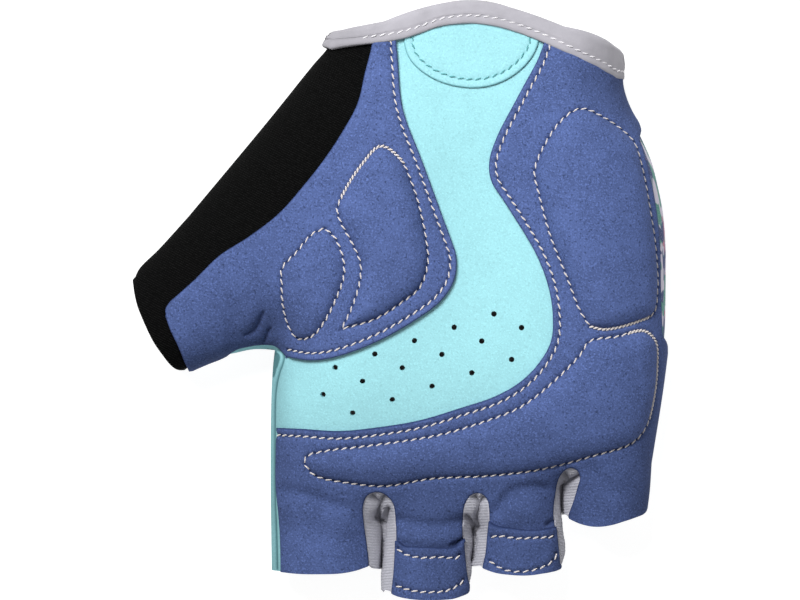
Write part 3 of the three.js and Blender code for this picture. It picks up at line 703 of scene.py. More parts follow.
@lru_cache(maxsize=None)
def panels():
    """Which of the skin's triangles each panel takes, by the name of its CAD node."""
    middle, palm = skin()["middle"], skin()["palm"]

    def cut(name):
        return cut_off(name, edge_lines(), middle)

    def cut_through(name):
        return np.where(palm, cut(name), cut_off(name, back_lines(), middle))

    notch = np.full(len(middle), -1)
    for number in range(len(NOTCHES)):
        notch[cut_through(f"notch{number}")] = number
    holes = np.zeros(len(middle), bool)
    for ring in hole_outlines():
        holes |= inside(ring, middle) & palm
    wipe, hem, heel = cut_through("wipe"), cut_through("hem"), cut("heel") & palm
    plain = ~wipe & ~hem & (notch < 0)
    below_tape = ~cut("under")
    suede = palm & plain & ~cut("cuff") & ~heel
    outer = suede & cut("outer")
    found = {
        "palm_base": palm & plain & ~heel & ~holes & below_tape,
        "back_panel": (~palm | heel) & plain & below_tape,
        "thumb_wipe": wipe & ~hem & below_tape,
        "thumb_hem": hem,
        "thenar_overlay": suede & cut("thenar"),
        "outer_palm_overlay": outer,
        "cuff_patch": palm & cut("patch") & ~cut("cuff"),
    }
    for number, name in enumerate(GUSSETS):
        found[name] = notch == number
    for number, name in enumerate(TABS):
        found[name] = outer & cut(f"tab{number}")
    return found


# How far each piece's face stands off the skin, and its thickness
LAYERS = {
    "base": (0.0, 1.1),
    "hem": (0.3, 1.4),
    "suede": (1.3, 1.15),
    "patch": (0.65, 0.55),
    "tab": (TAB_STANDS, 0.9),
}
LOWEST = 0.03  # nothing of the mitt is nearer to the floor

# Folds that run through every layer of the palm: line, half its width and how far it rises
FOLDS = (
    (((-31.3, -2.3), (-32.2, -4.3), (-33.7, -6.3), (-35.6, -7.4)), 0.5, -0.8),  # under the thumb
    (((-29.5, -5.8), (-30.3, -7.2), (-31.3, -9.2)), 0.5, -0.8),
    (((-38.5, -1.5), (-38.3, -5.0), (-38.0, -9.0)), 2.2, -0.5),
    (((-33.6, -1.8), (-34.6, -4.0), (-36.6, -5.2)), 1.4, 0.45),
    (((-25.3, -43.7), (-19.6, -45.1), (-13.8, -47.2)), 1.5, -0.9),  # index finger
    (((-26.0, -47.5), (-18.0, -49.5), (-12.0, -51.5)), 3.0, 0.5),
    (((0.4, -50.2), (6.9, -51.6), (14.2, -50.2)), 1.5, -0.75),  # middle finger
    (((1.5, -53.9), (7.0, -54.6), (13.5, -53.9)), 1.8, 0.75),
    (((22.4, -48.0), (24.2, -45.3), (26.2, -43.5), (29.4, -42.7), (32.6, -42.9)), 1.3, -0.9),  # ring finger
    (((25.6, -48.8), (29.0, -48.4)), 3.0, 0.8),
    (((43.7, -38.0), (46.0, -41.0), (48.3, -43.7)), 1.6, -0.7),  # little finger
    (((11.6, -55.9), (13.2, -54.9), (14.2, -53.6)), 0.6, -1.1),  # pockets behind the pull tabs
    (((33.4, -51.4), (34.8, -50.5), (36.0, -49.4)), 0.6, -0.8),
)
FINE_FOLD = 1.0  # folds narrower than this have rows of their own in the mesh

# Creases where the ribbed knit is tucked in between two fingers
CREASES = (
    ((-6.3, -44.8), (-4.5, -46.8)),
    ((-3.7, -45.0), (-4.4, -47.0), (-5.0, -49.8), (-3.4, -51.5)),
    ((-5.4, -49.8), (-3.7, -51.9), (-4.0, -57.1), (-4.4, -61.6)),
    ((-2.8, -47.8), (-3.4, -51.1)),
    ((17.1, -44.9), (18.2, -46.9), (17.5, -50.3), (18.0, -52.0)),
    ((19.1, -45.2), (18.2, -46.9)),
    ((15.2, -49.5), (17.8, -52.6)),
    ((16.8, -52.6), (17.3, -55.3), (16.6, -59.7)),
    ((37.6, -39.7), (38.4, -41.2)),
    ((40.9, -40.3), (38.6, -41.6)),
    ((37.1, -42.9), (37.4, -49.5)),
)
CREASE_REACH = 1.5  # distance from a crease over which the knit rounds up beside it
CREASE_STAND = (-0.9, 0.85)  # how far the knit stands off the skin in a crease and beside it
CREASE_RISE = 2.6  # height above the side over which a crease reaches its full depth
SLIT_STAND = 0.37  # two fingers' knit all but meets at the side
SLIT_FOOT = (3.0, 8.0)  # heights between which the back of the slit opens

# Long soft waves in the palm: wave lengths in x and y over 2 pi, phase and height
WAVES = ((5.3, 7.1, 0.4, 0.1), (3.1, 4.4, 1.9, 0.05), (9.7, 12.3, 2.6, 0.14))
STILL_SIDE = 3.0  # folds and waves fade out towards the open sides over this distance

PAD_SHOULDER = 5.0  # distance from its seam over which a padded cell reaches its full height
PAD_FULLNESS = 2.3  # the higher, the steeper a cell rises beside its seam
EDGE_ROLL = 0.45  # width and drop of the rolled edge of a cut piece
EDGE_DROP = 0.25
# The needle holes are dents in the cloth, and they are painted dark as shade
PIT = (0.42, 0.3)  # radius and depth of a needle's dent between two stitches
PIT_REACH = 0.99  # distance from the seam over which dents show
THIN = 0.5  # strength of the dents' darkness and of the edge's drop on the thin cuff patch


def along(line, xy, half_width):
    """1 on a line, and down to 0 over about twice half_width beside it."""
    gap = distance_to(line, xy, 3.0 * half_width)
    return np.exp(-((gap / half_width) ** 2)) * (gap < 2.99 * half_width)


def folds(xy):
    """How far the palm's folds and waves stand out."""
    rise = np.zeros(len(xy))
    for points, half_width, height in FOLDS:
        rise += height * along(cut_line(points), xy, half_width)
    for across, down, phase, height in WAVES:
        rise += height * np.sin(xy[:, 0] / across + phase) * np.sin(xy[:, 1] / down + 2 * phase)
    return rise * ramp(from_side(xy) / STILL_SIDE)


@lru_cache(maxsize=None)
def skin_folds():
    return folds(skin()["xy"])


def puff(xy):
    """How far the foam lifts the suede inside the stitched outlines."""
    rise = np.zeros(len(xy))
    for number, pad in enumerate(PADS):
        line = seams()[f"pad{number}"]["line"]
        gap = distance_to(line, xy, PAD_SHOULDER) / PAD_SHOULDER
        full = pad["height"] * (1.0 - (1.0 - gap) ** PAD_FULLNESS)
        rise = np.where(inside(line, xy), full, rise)
    return rise


def in_mm(name):
    """A length from the panel's sizes, in millimetres."""
    return getattr(bpy.context.scene.mitt_sizes, name) / MM


def in_space(line, stand=0.0):
    """A line on the palm's skin as places, with the outward directions there."""
    out = normal_on(palm_height, line)
    return np.column_stack((line, palm_height(line))) + out * stand, out


def stations(path, pitch):
    """Even places along a path, as whole and part numbers of its points."""
    run = run_along(path)
    at = np.linspace(0.0, run[-1], max(2, round(run[-1] / pitch)) + 1)
    return np.interp(at, run, np.arange(len(path)))


def at_stations(values, where):
    """The values at those places, straight between neighbours."""
    return between(values, np.arange(len(values)), where)


SEWN_ON = {"palm": "suede", "tab": "tab", "patch": "patch"}  # the layer under each thread


def sewn_path(seam):
    """A seam's line in space, its outward directions and its needle holes' places along it."""
    path, out = in_space(seam["line"], LAYERS[SEWN_ON[seam["thread"]]][0])
    where = stations(path, in_mm("stitch_pitch"))
    if seam["twice"]:
        start, end = (share_of * (len(path) - 1) for share_of in seam["twice"])
        within = where[(where >= start) & (where <= end)]
        where = np.sort(np.concatenate((where, (within[1:] + within[:-1]) / 2)))
    return path, out, where


def pulled_in(xy, thread):
    """How far stitches of one thread pull the cloth down, and how dark its needle holes are painted as
    shade.
    """
    sunk, dark = np.zeros(len(xy)), np.zeros(len(xy))
    radius, depth = PIT
    for seam in seams().values():
        if seam["thread"] != thread:
            continue
        sunk = np.maximum(sunk, in_mm("groove_depth") * along(seam["line"], xy, in_mm("groove_width")))
        _, _, where = sewn_path(seam)
        holes = at_stations(seam["line"], where)
        tree = tree_of(holes, range(len(holes)))
        near = np.flatnonzero(distance_to(seam["line"], xy, PIT_REACH) < PIT_REACH)
        gap = np.array([tree.find((*xy[number], 0.0))[2] for number in near])
        dark[near] = np.maximum(dark[near], np.exp(-((gap / radius) ** 2)))
    return -sunk - depth * dark, dark


def rolled(xy, names):
    """How close points are to the named cut edges: 1 on them, 0 from EDGE_ROLL on."""
    close = np.zeros(len(xy))
    for name in names:
        gap = distance_to(edge_lines()[name], xy, EDGE_ROLL)
        close = np.maximum(close, 1.0 - gap / EDGE_ROLL)
    return close


NOTCH_EDGES = ("notch0", "notch1", "notch2")
EASE = 3.0  # distance from an edge that is held down over which suede comes down to it
TAB_HELD = 0.8  # how far a tab comes down at its sides, and the overlay at the thumb's crotch
CROTCH_HELD = 0.9
CORNER_REACH = 1.8  # distance from a finger's side over which a corner beside the knit comes down
CORNER_STANDS = 0.2  # how far the corner stands off the skin
TAB_CORNERS = 0.1  # how far the whole tab is set off, so that its corners clear the overlay's


def held_down(xy, names):
    """1 on edges that are sewn down, and down to 0 beside them."""
    held = np.zeros(len(xy))
    for name in names:
        held = np.maximum(held, 1.0 - distance_to(edge_lines()[name], xy, EASE) / EASE)
    return held**2


# Painted shade: the suede is painted darker towards the finger ends, the thumb and the open sides,
# and lighter or darker in spots. The stretch or distance over which it does, and how much of the light it
# takes
SHADE_ENDS = ((-14.0, -48.0), 0.26)
SHADE_THUMB = ((-12.0, -34.0), 0.13)
SHADE_SIDES = (6.0, 0.22)
SHADE_SPOTS = (  # x, y, spread across, spread along, and how much more light it keeps
    (-20.0, -56.0, 9.0, 6.0, 0.28),
    (-31.0, -7.0, 8.0, 6.0, -0.18),
    (47.0, 50.0, 9.0, 9.0, -0.2),
)


@lru_cache(maxsize=None)
def painted_shade_map():
    """How much darker the suede is painted as shade, for every skin point."""
    xy = skin()["xy"]
    light = 1.0 - SHADE_ENDS[1] * share(SHADE_ENDS[0], xy[:, 1])
    light *= 1.0 - SHADE_THUMB[1] * share(SHADE_THUMB[0], xy[:, 0])
    for *spot, more in SHADE_SPOTS:
        light *= 1.0 + more * hump(xy[:, 0], xy[:, 1], *spot)
    return 1.0 - light * (1.0 - SHADE_SIDES[1] * (1.0 - ramp(from_side(xy) / SHADE_SIDES[0])))


def corners_down(stand):
    """The distances off the skin with the corners between a gusset and a finger's end brought down."""
    xy = skin()["xy"]
    down = (1.0 - ramp(from_side(xy) / CORNER_REACH)) * np.sqrt(held_down(xy, NOTCH_EDGES))
    return stand + (CORNER_STANDS - stand) * down


def sewn_stand(thread, edges, strength=1.0):
    """Distance off the skin of a layer sewn with that thread, and its shading, at every skin point.

    The strength is its share of the dents' painted shade and of a cut edge's drop.
    """
    xy = skin()["xy"]
    pulled, dark = pulled_in(xy, thread)
    rim = rolled(xy, edges)
    stand = LAYERS[SEWN_ON[thread]][0] + skin_folds() + SEAM_PULL[thread] * pulled
    return stand - strength * EDGE_DROP * rim**2, {"dark": strength * dark, "rim": rim, "lie": painted_shade_map()}


def laid(pick, stand, thickness, shading):
    """The picked part of the skin as a closed sheet in mm, its face at stand off the skin."""
    s = skin()
    used, corners = np.unique(s["faces"][pick], return_inverse=True)
    out = s["out"][used]
    spots = s["places"][used] + out * stand[used, None]
    spots[:, 2] = np.maximum(spots[:, 2], LOWEST)
    bm = bmesh.new()
    layers = {name: bm.verts.layers.float.new(name) for name in shading}
    verts = [bm.verts.new(spot) for spot in spots]
    for name, values in shading.items():
        layer = layers[name]
        for vert, value in zip(verts, values[used]):
            vert[layer] = value
    for corner in corners.reshape(-1, 3):
        bm.faces.new([verts[number] for number in corner])
    bm.normal_update()
    count = len(bm.faces)
    bmesh.ops.solidify(bm, geom=bm.faces[:], thickness=thickness)
    bm.verts.index_update()
    bm.faces.ensure_lookup_table()
    inner_spots = [Vector(spot) for spot in spots - out * thickness]
    for number in range(count):
        inner = bm.faces[count + number].verts
        for vert, twin in zip(bm.faces[number].verts, (inner[0], inner[2], inner[1])):
            twin.co = inner_spots[vert.index]
    return bm


SHARP = math.radians(42.0)  # edges that turn further than this are shaded sharp


def finished(name, bm, finishes, nodes=()):
    """Makes a bmesh in mm a piece that rides on the mitt and stands for the named CAD nodes."""
    bmesh.ops.scale(bm, vec=(MM, MM, MM), verts=bm.verts[:])
    for face in bm.faces:
        face.smooth = True
    mesh = bpy.data.meshes.new(name)
    bm.to_mesh(mesh)
    bm.free()
    mesh.set_sharp_from_angle(angle=SHARP)
    for finish in finishes:
        mesh.materials.append(finish)
    piece = bpy.data.objects.new(name, mesh)
    bpy.context.scene.collection.objects.link(piece)
    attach(piece, "root")
    if nodes:
        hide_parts(*nodes)
    return piece


def cloth(name, slot, nodes, layer, stand, shading, lined=False):
    """Makes the first node's panel a sheet of its layer's thickness, with its face at stand off the skin."""
    pick = panels()[nodes[0]]
    bm = laid(pick, stand, LAYERS[layer][1], shading)
    finishes = [finish_of(slot)]
    if lined:
        finishes.append(finish_of("lining_knit"))
        count = int(pick.sum())
        bm.faces.ensure_lookup_table()
        for number in range(count, 2 * count):
            bm.faces[number].material_index = 1
    return finished(name, bm, finishes, nodes)


def plain_stand(layer):
    """The distance off the skin of a layer without folds, for every skin point."""
    return np.full(len(skin()["xy"]), LAYERS[layer][0])


def linear(*rgb):
    """A colour of 0 to 255 as the linear numbers that shaders use."""
    return tuple(((c / 255 + 0.055) / 1.055) ** 2.4 if c > 10 else c / 3294.6 for c in rgb)


class Finish:
    """A material that is built up from nodes. Lengths are given in millimetres."""

    def __init__(self, name, roughness, sheen=0.0, sheen_tint=(1.0, 1.0, 1.0), shine=0.15):
        self.material = bpy.data.materials.new(name)
        self.material.use_nodes = True
        self.tree = self.material.node_tree
        self.shader = self.tree.nodes["Principled BSDF"]
        self.feed(self.shader, {
            "Roughness": roughness, "Specular IOR Level": shine, "Sheen Weight": sheen,
            "Sheen Roughness": 0.6, "Sheen Tint": sheen_tint,
        })
        self.place = self.add("ShaderNodeTexCoord").outputs["Object"]
        self.relief = None

    def feed(self, node, inputs):
        """Links outputs to a node's sockets, or sets the sockets to numbers and colours."""
        for name, value in inputs.items():
            socket = node.inputs[name]
            if isinstance(value, bpy.types.NodeSocket):
                self.tree.links.new(value, socket)
            elif socket.type == "RGBA" and len(value) == 3:
                socket.default_value = (*value, 1.0)
            else:
                socket.default_value = value

    def add(self, kind, inputs=None, **settings):
        node = self.tree.nodes.new(kind)
        for name, value in settings.items():
            setattr(node, name, value)
        self.feed(node, inputs or {})
        return node

    def mapped(self, turn=0.0, stretch=(1.0, 1.0, 1.0)):
        """The piece's coordinates, turned about Z by degrees and then stretched."""
        angles = (0.0, 0.0, math.radians(turn))
        turned = self.add("ShaderNodeMapping", {"Vector": self.place, "Rotation": angles})
        scaled = self.add("ShaderNodeMapping", {"Vector": turned.outputs["Vector"], "Scale": stretch})
        return scaled.outputs["Vector"]

    def noise(self, size, detail=2.0, place=None, distortion=0.0):
        inputs = {
            "Vector": place or self.place, "Scale": 1.0 / (size * MM), "Detail": detail,
            "Distortion": distortion,
        }
        return self.add("ShaderNodeTexNoise", inputs).outputs["Fac"]

    def bands(self, pitch, direction, distortion=0.0, place=None):
        """Soft bands that are pitch apart: the node has 20 of them to a scale of 2 pi."""
        inputs = {
            "Vector": place or self.place, "Scale": 2 * math.pi / (20 * pitch * MM),
            "Distortion": distortion, "Detail": 1.0, "Detail Scale": 3.0,
        }
        return self.add("ShaderNodeTexWave", inputs, bands_direction=direction).outputs["Fac"]

    def attribute(self, name):
        return self.add("ShaderNodeAttribute", attribute_name=name).outputs["Fac"]

    def sloped(self, value, low, high, start=0.0, end=1.0):
        """start where the value is low, end where it is high, and straight between."""
        inputs = {"Value": value, "From Min": low, "From Max": high, "To Min": start, "To Max": end}
        return self.add("ShaderNodeMapRange", inputs).outputs["Result"]

    def product(self, a, b):
        return self.add("ShaderNodeMath", {0: a, 1: b}, operation="MULTIPLY").outputs["Value"]

    def mixed(self, share_of, a, b):
        """Colour a where share_of is 0 and b where it is 1."""
        inputs = {"Factor": share_of, 6: a, 7: b}
        return self.add("ShaderNodeMix", inputs, data_type="RGBA").outputs[2]

    def raised(self, height, depth):
        """Adds a bump of that height, 0 to 1, times depth."""
        inputs = {"Strength": 1.0, "Distance": depth * MM, "Height": height}
        if self.relief is not None:
            inputs["Normal"] = self.relief
        self.relief = self.add("ShaderNodeBump", inputs).outputs["Normal"]

    def done(self, colour):
        self.feed(self.shader, {"Base Color": colour})
        if self.relief is not None:
            self.feed(self.shader, {"Normal": self.relief})
        return self.material


def colours():
    return bpy.context.scene.mitt_colours


def tinted(colour, by):
    """A colour made lighter or darker by a factor."""
    return tuple(min(1.0, channel * by) for channel in colour)


def suede_finish(name, colour, edge, fleck=0.5):
    """Napped synthetic suede: fine light and dark flecks, a soft nap, cut edges darkened partly as painted
    shade, and painted shade in the needle holes and towards the finger ends.
    """
    finish = Finish(name, 0.95, 0.08, tinted(colour, 1.6))
    cloudy = finish.sloped(finish.noise(5.0, 3.0), 0.3, 0.7)
    body = finish.mixed(cloudy, tinted(colour, 1.0 - fleck / 4), tinted(colour, 1.0 + fleck / 4))
    nap = finish.noise(0.4, 3.0)
    light = finish.sloped(nap, 0.5, 0.68)
    dark = finish.sloped(finish.noise(0.5, 3.0, finish.mapped(40.0)), 0.44, 0.3)
    body = finish.mixed(light, body, tinted(colour, 1.0 + 1.2 * fleck))
    body = finish.mixed(dark, body, tinted(colour, 1.0 - fleck))
    # darker cut edges: partly the raw edge's own tone, partly painted shade where the edge rolls down
    edge_shade = finish.sloped(finish.attribute("rim"), 0.25, 1.0, 0.0, 0.75)
    body = finish.mixed(edge_shade, body, edge)
    # painted shade in the needle holes, and on the palm in the crotch's hollow and along the turned crease
    pit = finish.sloped(finish.attribute("dark"), 0.2, 0.9, 0.0, 0.8)
    body = finish.mixed(pit, body, tinted(edge, 0.7))
    # painted shade: darker towards the finger ends, the thumb and the open sides
    body = finish.mixed(finish.attribute("lie"), body, (0.0, 0.0, 0.0))
    finish.raised(nap, 0.05)
    finish.raised(finish.noise(1.6, 2.0), 0.12)
    return finish.done(body)


def knit_finish(name, colour, light, pitch, turn, depth=0.14, edge=None, shine=0.15):
    """Ribbed knit: fine ridges whose crests are painted lighter in broken spots, a painted highlight."""
    finish = Finish(name, 0.85, shine=shine)
    place = finish.mapped(turn)
    ribs = finish.bands(pitch, "Y", 0.6, place)
    beads = finish.noise(pitch * 0.9, 1.0)
    # painted highlight: the rib crests are lighter in broken spots
    rib_highlight = finish.product(finish.sloped(ribs, 0.35, 0.95), finish.sloped(beads, 0.35, 0.65))
    body = finish.mixed(rib_highlight, colour, light)
    if edge:
        body = finish.mixed(finish.sloped(finish.attribute("rim"), 0.2, 0.9, 0.0, 0.7), body, edge)
    finish.raised(ribs, depth)
    finish.raised(beads, depth / 2)
    return finish.done(body)


def tape_finish(name, colour):
    """Soft folded tape with faint mottling, and painted shade towards the mitt's left."""
    finish = Finish(name, 0.8, 0.1)
    cloudy = finish.sloped(finish.noise(3.5, 3.0), 0.3, 0.7)
    body = finish.mixed(cloudy, tinted(colour, 0.94), tinted(colour, 1.05))
    grain = finish.noise(0.3, 2.0)
    body = finish.mixed(finish.sloped(grain, 0.55, 0.8, 0.0, 0.5), body, tinted(colour, 1.12))
    # painted shade towards the mitt's left
    body = finish.mixed(finish.attribute("lie"), body, (0.0, 0.0, 0.0))
    finish.raised(grain, 0.03)
    finish.raised(finish.noise(2.4, 2.0), 0.1)
    return finish.done(body)


def thread_finish(name, colour):
    """Twisted sewing thread: strands wound across each stitch."""
    finish = Finish(name, 0.6, 0.1)
    strands = finish.bands(0.28, "DIAGONAL", 0.4)
    body = finish.mixed(finish.sloped(strands, 0.2, 0.8), tinted(colour, 0.72), colour)
    finish.raised(strands, 0.06)
    return finish.done(body)


def print_finish(name):
    """Smooth stretch knit with a plain print of brush strokes."""
    c = colours()
    finish = Finish(name, 0.75, 0.1)
    size = in_mm("print_stroke")
    strokes = finish.mapped(-52.0, (1.0, 0.16, 1.0))
    green = finish.sloped(finish.noise(size * 1.7, 1.5, strokes, 0.3), 0.47, 0.49)
    body = finish.mixed(green, c.print_pale, c.print_green)
    shifted = finish.mapped(-60.0, (1.0, 0.2, 1.6))
    navy = finish.sloped(finish.noise(size * 2.1, 1.5, shifted, 0.4), 0.55, 0.57)
    body = finish.mixed(navy, body, c.print_navy)
    crossed = finish.mapped(-45.0, (1.1, 0.25, 1.0))
    pink = finish.sloped(finish.noise(size * 1.3, 2.0, crossed, 0.2), 0.63, 0.65)
    body = finish.mixed(pink, body, c.print_pink)
    weave = finish.noise(0.3, 1.0)
    body = finish.mixed(finish.sloped(weave, 0.55, 0.8, 0.0, 0.6), body, c.print_pale)
    finish.raised(weave, 0.05)
    return finish.done(body)


def lining_finish(name, _):
    """The pale knit inside the mitt, in a colour of its own."""
    return knit_finish(name, linear(150, 150, 150), linear(196, 196, 196), 0.8, 0.0, 0.1)


def rib_finish(name, colour):
    """The grey rib between the fingers, painted lighter on its rib crests as highlight, and paler at its cut
    edges.
    """
    return knit_finish(name, colour, tinted(colour, 1.35), 0.36, 0.0, 0.1, edge=tinted(colour, 1.5))


# How each finish is made from its name and from its colour in the panel, where it has one there
FINISHES = {
    "blue_suede": lambda name, colour: suede_finish(name, colour, linear(30, 44, 84)),
    "aqua_suede": lambda name, colour: suede_finish(name, colour, linear(58, 120, 128), 0.12),
    "black_knit": lambda name, colour: knit_finish(name, colour, linear(23, 23, 23), 0.5, 28.0, shine=0.02),
    "lining_knit": lining_finish,
    "printed_stretch": lambda name, _: print_finish(name),
    "grey_rib": rib_finish,
    "grey_tape": tape_finish,
    "white_thread": thread_finish,
    "teal_thread": thread_finish,
    "grey_thread": thread_finish,
}


@lru_cache(maxsize=None)
def finish_of(name):
    """The finish of that name, made when it is first asked for."""
    return FINISHES[name](name, tuple(getattr(colours(), name, ())))


# The aqua suede's edge is turned under beside the index finger: the line along the turned strip,
# painted dark as shade, half its width and depth, and the hollow at the thumb's crotch, painted dark as
# shade
TURNED_LINE = ((-28, -11.4), (-27.2, -12), (-26.8, -13), (-27.1, -14.5), (-27.8, -16.5),
               (-28.4, -19), (-28.8, -22.5), (-28.9, -29.4), (-28.9, -41), (-28.6, -52), (-28.4, -62))
TURNED_WIDTH = 0.3
TURNED_DEPTH = 0.3
HOLLOW = ((-29.3, -11.3), (-28.2, -12.1), (-27.6, -13.2), (-27.8, -14.8), (-28.6, -16.8),
          (-29.2, -18), (-30.5, -18), (-30.5, -11.3))


# Pieces
class OneClick:
    """What the operators share."""

    bl_options = {"REGISTER", "UNDO"}


class MITT_OT_palm_base(OneClick, bpy.types.Operator):
    """Adds the aqua suede palm with its air holes."""

    bl_idname = "mitt.palm_base"
    bl_label = "Palm Base"

    def execute(self, context):
        xy = skin()["xy"]
        turned = along(cut_line(TURNED_LINE), xy, TURNED_WIDTH)
        shading = {
            # the cut edges are darkened, partly as painted shade
            "rim": rolled(xy, ("wipe", *NOTCH_EDGES)),
            # painted shade in the crotch's hollow and along the turned crease
            "dark": np.where(inside(np.array(HOLLOW), xy), 1.0, turned),
            # painted shade, left off beside the thumb's crotch
            "lie": painted_shade_map() * (1.0 - held_down(xy, ("crotch",))),
        }
        stand = LAYERS["base"][0] + skin_folds() - TURNED_DEPTH * turned
        cloth("palm_base_cloth", "aqua_suede", ("palm_base",), "base", stand, shading, lined=True)
        return {"FINISHED"}


class MITT_OT_back(OneClick, bpy.types.Operator):
    """Adds the printed back panel and gives the wrist tab its finish."""

    bl_idname = "mitt.back"
    bl_label = "Back Panel"

    def execute(self, context):
        stand = plain_stand("base")
        cloth("back_panel_cloth", "printed_stretch", ("back_panel",), "base", stand, {}, lined=True)
        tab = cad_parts["wrist_tab"]
        tab.data.materials.clear()
        tab.data.materials.append(finish_of("printed_stretch"))
        return {"FINISHED"}


class MITT_OT_thumb_towel(OneClick, bpy.types.Operator):
    """Adds the black towelling over the thumb and its turned hem."""

    bl_idname = "mitt.thumb_towel"
    bl_label = "Thumb Towelling"

    def execute(self, context):
        cloth("thumb_towel", "black_knit", ("thumb_wipe",), "base", plain_stand("base"), {})
        stand = plain_stand("hem") - EDGE_DROP * rolled(skin()["xy"], ("hem",)) ** 2
        cloth("thumb_hem_fold", "black_knit", ("thumb_hem",), "hem", stand, {})
        return {"FINISHED"}


class MITT_OT_gussets(OneClick, bpy.types.Operator):
    """Adds the ribbed knit that is tucked in between the fingers."""

    bl_idname = "mitt.gussets"
    bl_label = "Finger Gussets"

    def execute(self, context):
        xy, height = skin()["xy"], skin()["places"][:, 2]
        clear = np.full(len(xy), CREASE_REACH)
        for points in CREASES:
            clear = np.minimum(clear, distance_to(cut_line(points), xy, CREASE_REACH))
        low, high = CREASE_STAND
        rounded = low + (high - low) * (1.0 - (1.0 - clear / CREASE_REACH) ** 2)
        lifted = ramp((height - SIDE_HEIGHT) / CREASE_RISE)
        stand = SLIT_STAND * share(SLIT_FOOT, height) * (1.0 - lifted) + rounded * lifted
        rim = rolled(xy, NOTCH_EDGES)
        for name in GUSSETS:
            knit = name.replace("gusset", "gusset_knit")
            cloth(knit, "grey_rib", (name,), "base", stand, {"rim": rim})
        return {"FINISHED"}


class MITT_OT_suede(OneClick, bpy.types.Operator):
    """Adds the two blue suede overlays with their padded cells and the aqua patch at the cuff."""

    bl_idname = "mitt.suede"
    bl_label = "Suede Overlays"

    def execute(self, context):
        xy = skin()["xy"]
        edges = ("thenar", "crotch", "palm", "index", "wipe", "hem", "heel", *NOTCH_EDGES)
        stand, shading = sewn_stand("palm", edges)
        stand = corners_down(stand + puff(xy) - CROTCH_HELD * held_down(xy, ("crotch",)))
        for name, nodes in (
            ("thenar_suede", ("thenar_overlay", "thenar_pad", "web_pad")),
            ("outer_suede", ("outer_palm_overlay", "heel_pad", "finger_base_pad")),
        ):
            piece = cloth(name, "blue_suede", nodes, "suede", stand, shading)
        stand, shading = sewn_stand("patch", ("patch",), THIN)
        cloth("cuff_patch_suede", "aqua_suede", ("cuff_patch",), "patch", stand, shading)
        return {"FINISHED"}


class MITT_OT_pull_tabs(OneClick, bpy.types.Operator):
    """Adds the blue suede pull tabs at the ends of two fingers."""

    bl_idname = "mitt.pull_tabs"
    bl_label = "Pull Tabs"

    def execute(self, context):
        stand, shading = sewn_stand("tab", ("tab0", "tab1", *NOTCH_EDGES))
        stand = corners_down(stand - TAB_HELD * held_down(skin()["xy"], NOTCH_EDGES)) + TAB_CORNERS
        for name in TABS:
            suede = name.replace("pull_tab", "tab_suede")
            cloth(suede, "blue_suede", (name,), "tab", stand, shading)
        return {"FINISHED"}


# The tape that is folded over the cuff. Its section goes round from the lower edge of its outer leg:
# share of the leg's length, millimetres further along it, and distance off the skin.
TAPE_ROLL = 1.9  # radius of the fold at the cuff's edge
TAPE_MIDDLE = -0.6  # where the fold's middle lies off the skin
TAPE_SEAM = 1.8  # stitches' distance from the lower edge
TAPE_SET = 0.55  # how far the whole tape is set in from the cuff's line
TAPE_TURN = 9  # stations over which it turns from the mitt's side onto the palm or the back
# Painted shade on the tape: it is painted darker towards the mitt's left
TAPE_SHADE = ((0.0, -16.0), 0.2)  # the x between which it gets darker to the left, and by how much
TAPE_LEG = (
    (1.0, 0.0, 0.4), (1.0, 0.1, 0.9), (1.0, 0.02, 1.25), (1.0, -0.25, 1.45), (1.0, -0.8, 1.52),
    (1.0, -1.4, 1.47), (1.0, -1.8, 1.38), (1.0, -2.2, 1.46), (1.0, -2.7, 1.56), (0.25, 1.9, 1.55),
    (0.0, 2.4, 1.4),
)
TAPE_INSIDE = (
    (0.0, 2.5, -2.5), (1.0, -0.6, -2.5), (1.0, -0.1, -2.3), (1.0, 0.0, -2.0), (1.0, -0.2, -1.6),
    (1.0, -0.6, -1.5), (0.0, 1.7, -1.5), (0.0, 1.35, -0.6), (0.0, 1.7, 0.3), (1.0, -0.4, 0.3),
)
ROLL_STEPS = 12
TAPE_STATIONS = 200  # on each side of the mitt
TAPE_WAVY = 1.2  # what stands higher off the skin than this is slightly wavy
TAPE_WAVES = ((0.07, 4.3, 0.0), (0.05, 2.1, 1.0))  # height, stations over 2 pi and phase
TAPE_FINE = (0.2, 3000)  # the lower edge's step, and points along each edge before they are spread
TAPE_SLOPE_STEP = 0.25  # distance over which the directions out are taken


def tape_section():
    """The points of the tape's section, with the round fold between its two legs."""
    turn = np.linspace(0.5 * math.pi, 1.5 * math.pi, ROLL_STEPS + 1)
    roll = [
        (0.0, TAPE_ROLL * (1.0 + math.cos(angle)), TAPE_MIDDLE + TAPE_ROLL * math.sin(angle))
        for angle in turn
    ]
    return np.array(TAPE_LEG + tuple(roll) + TAPE_INSIDE)


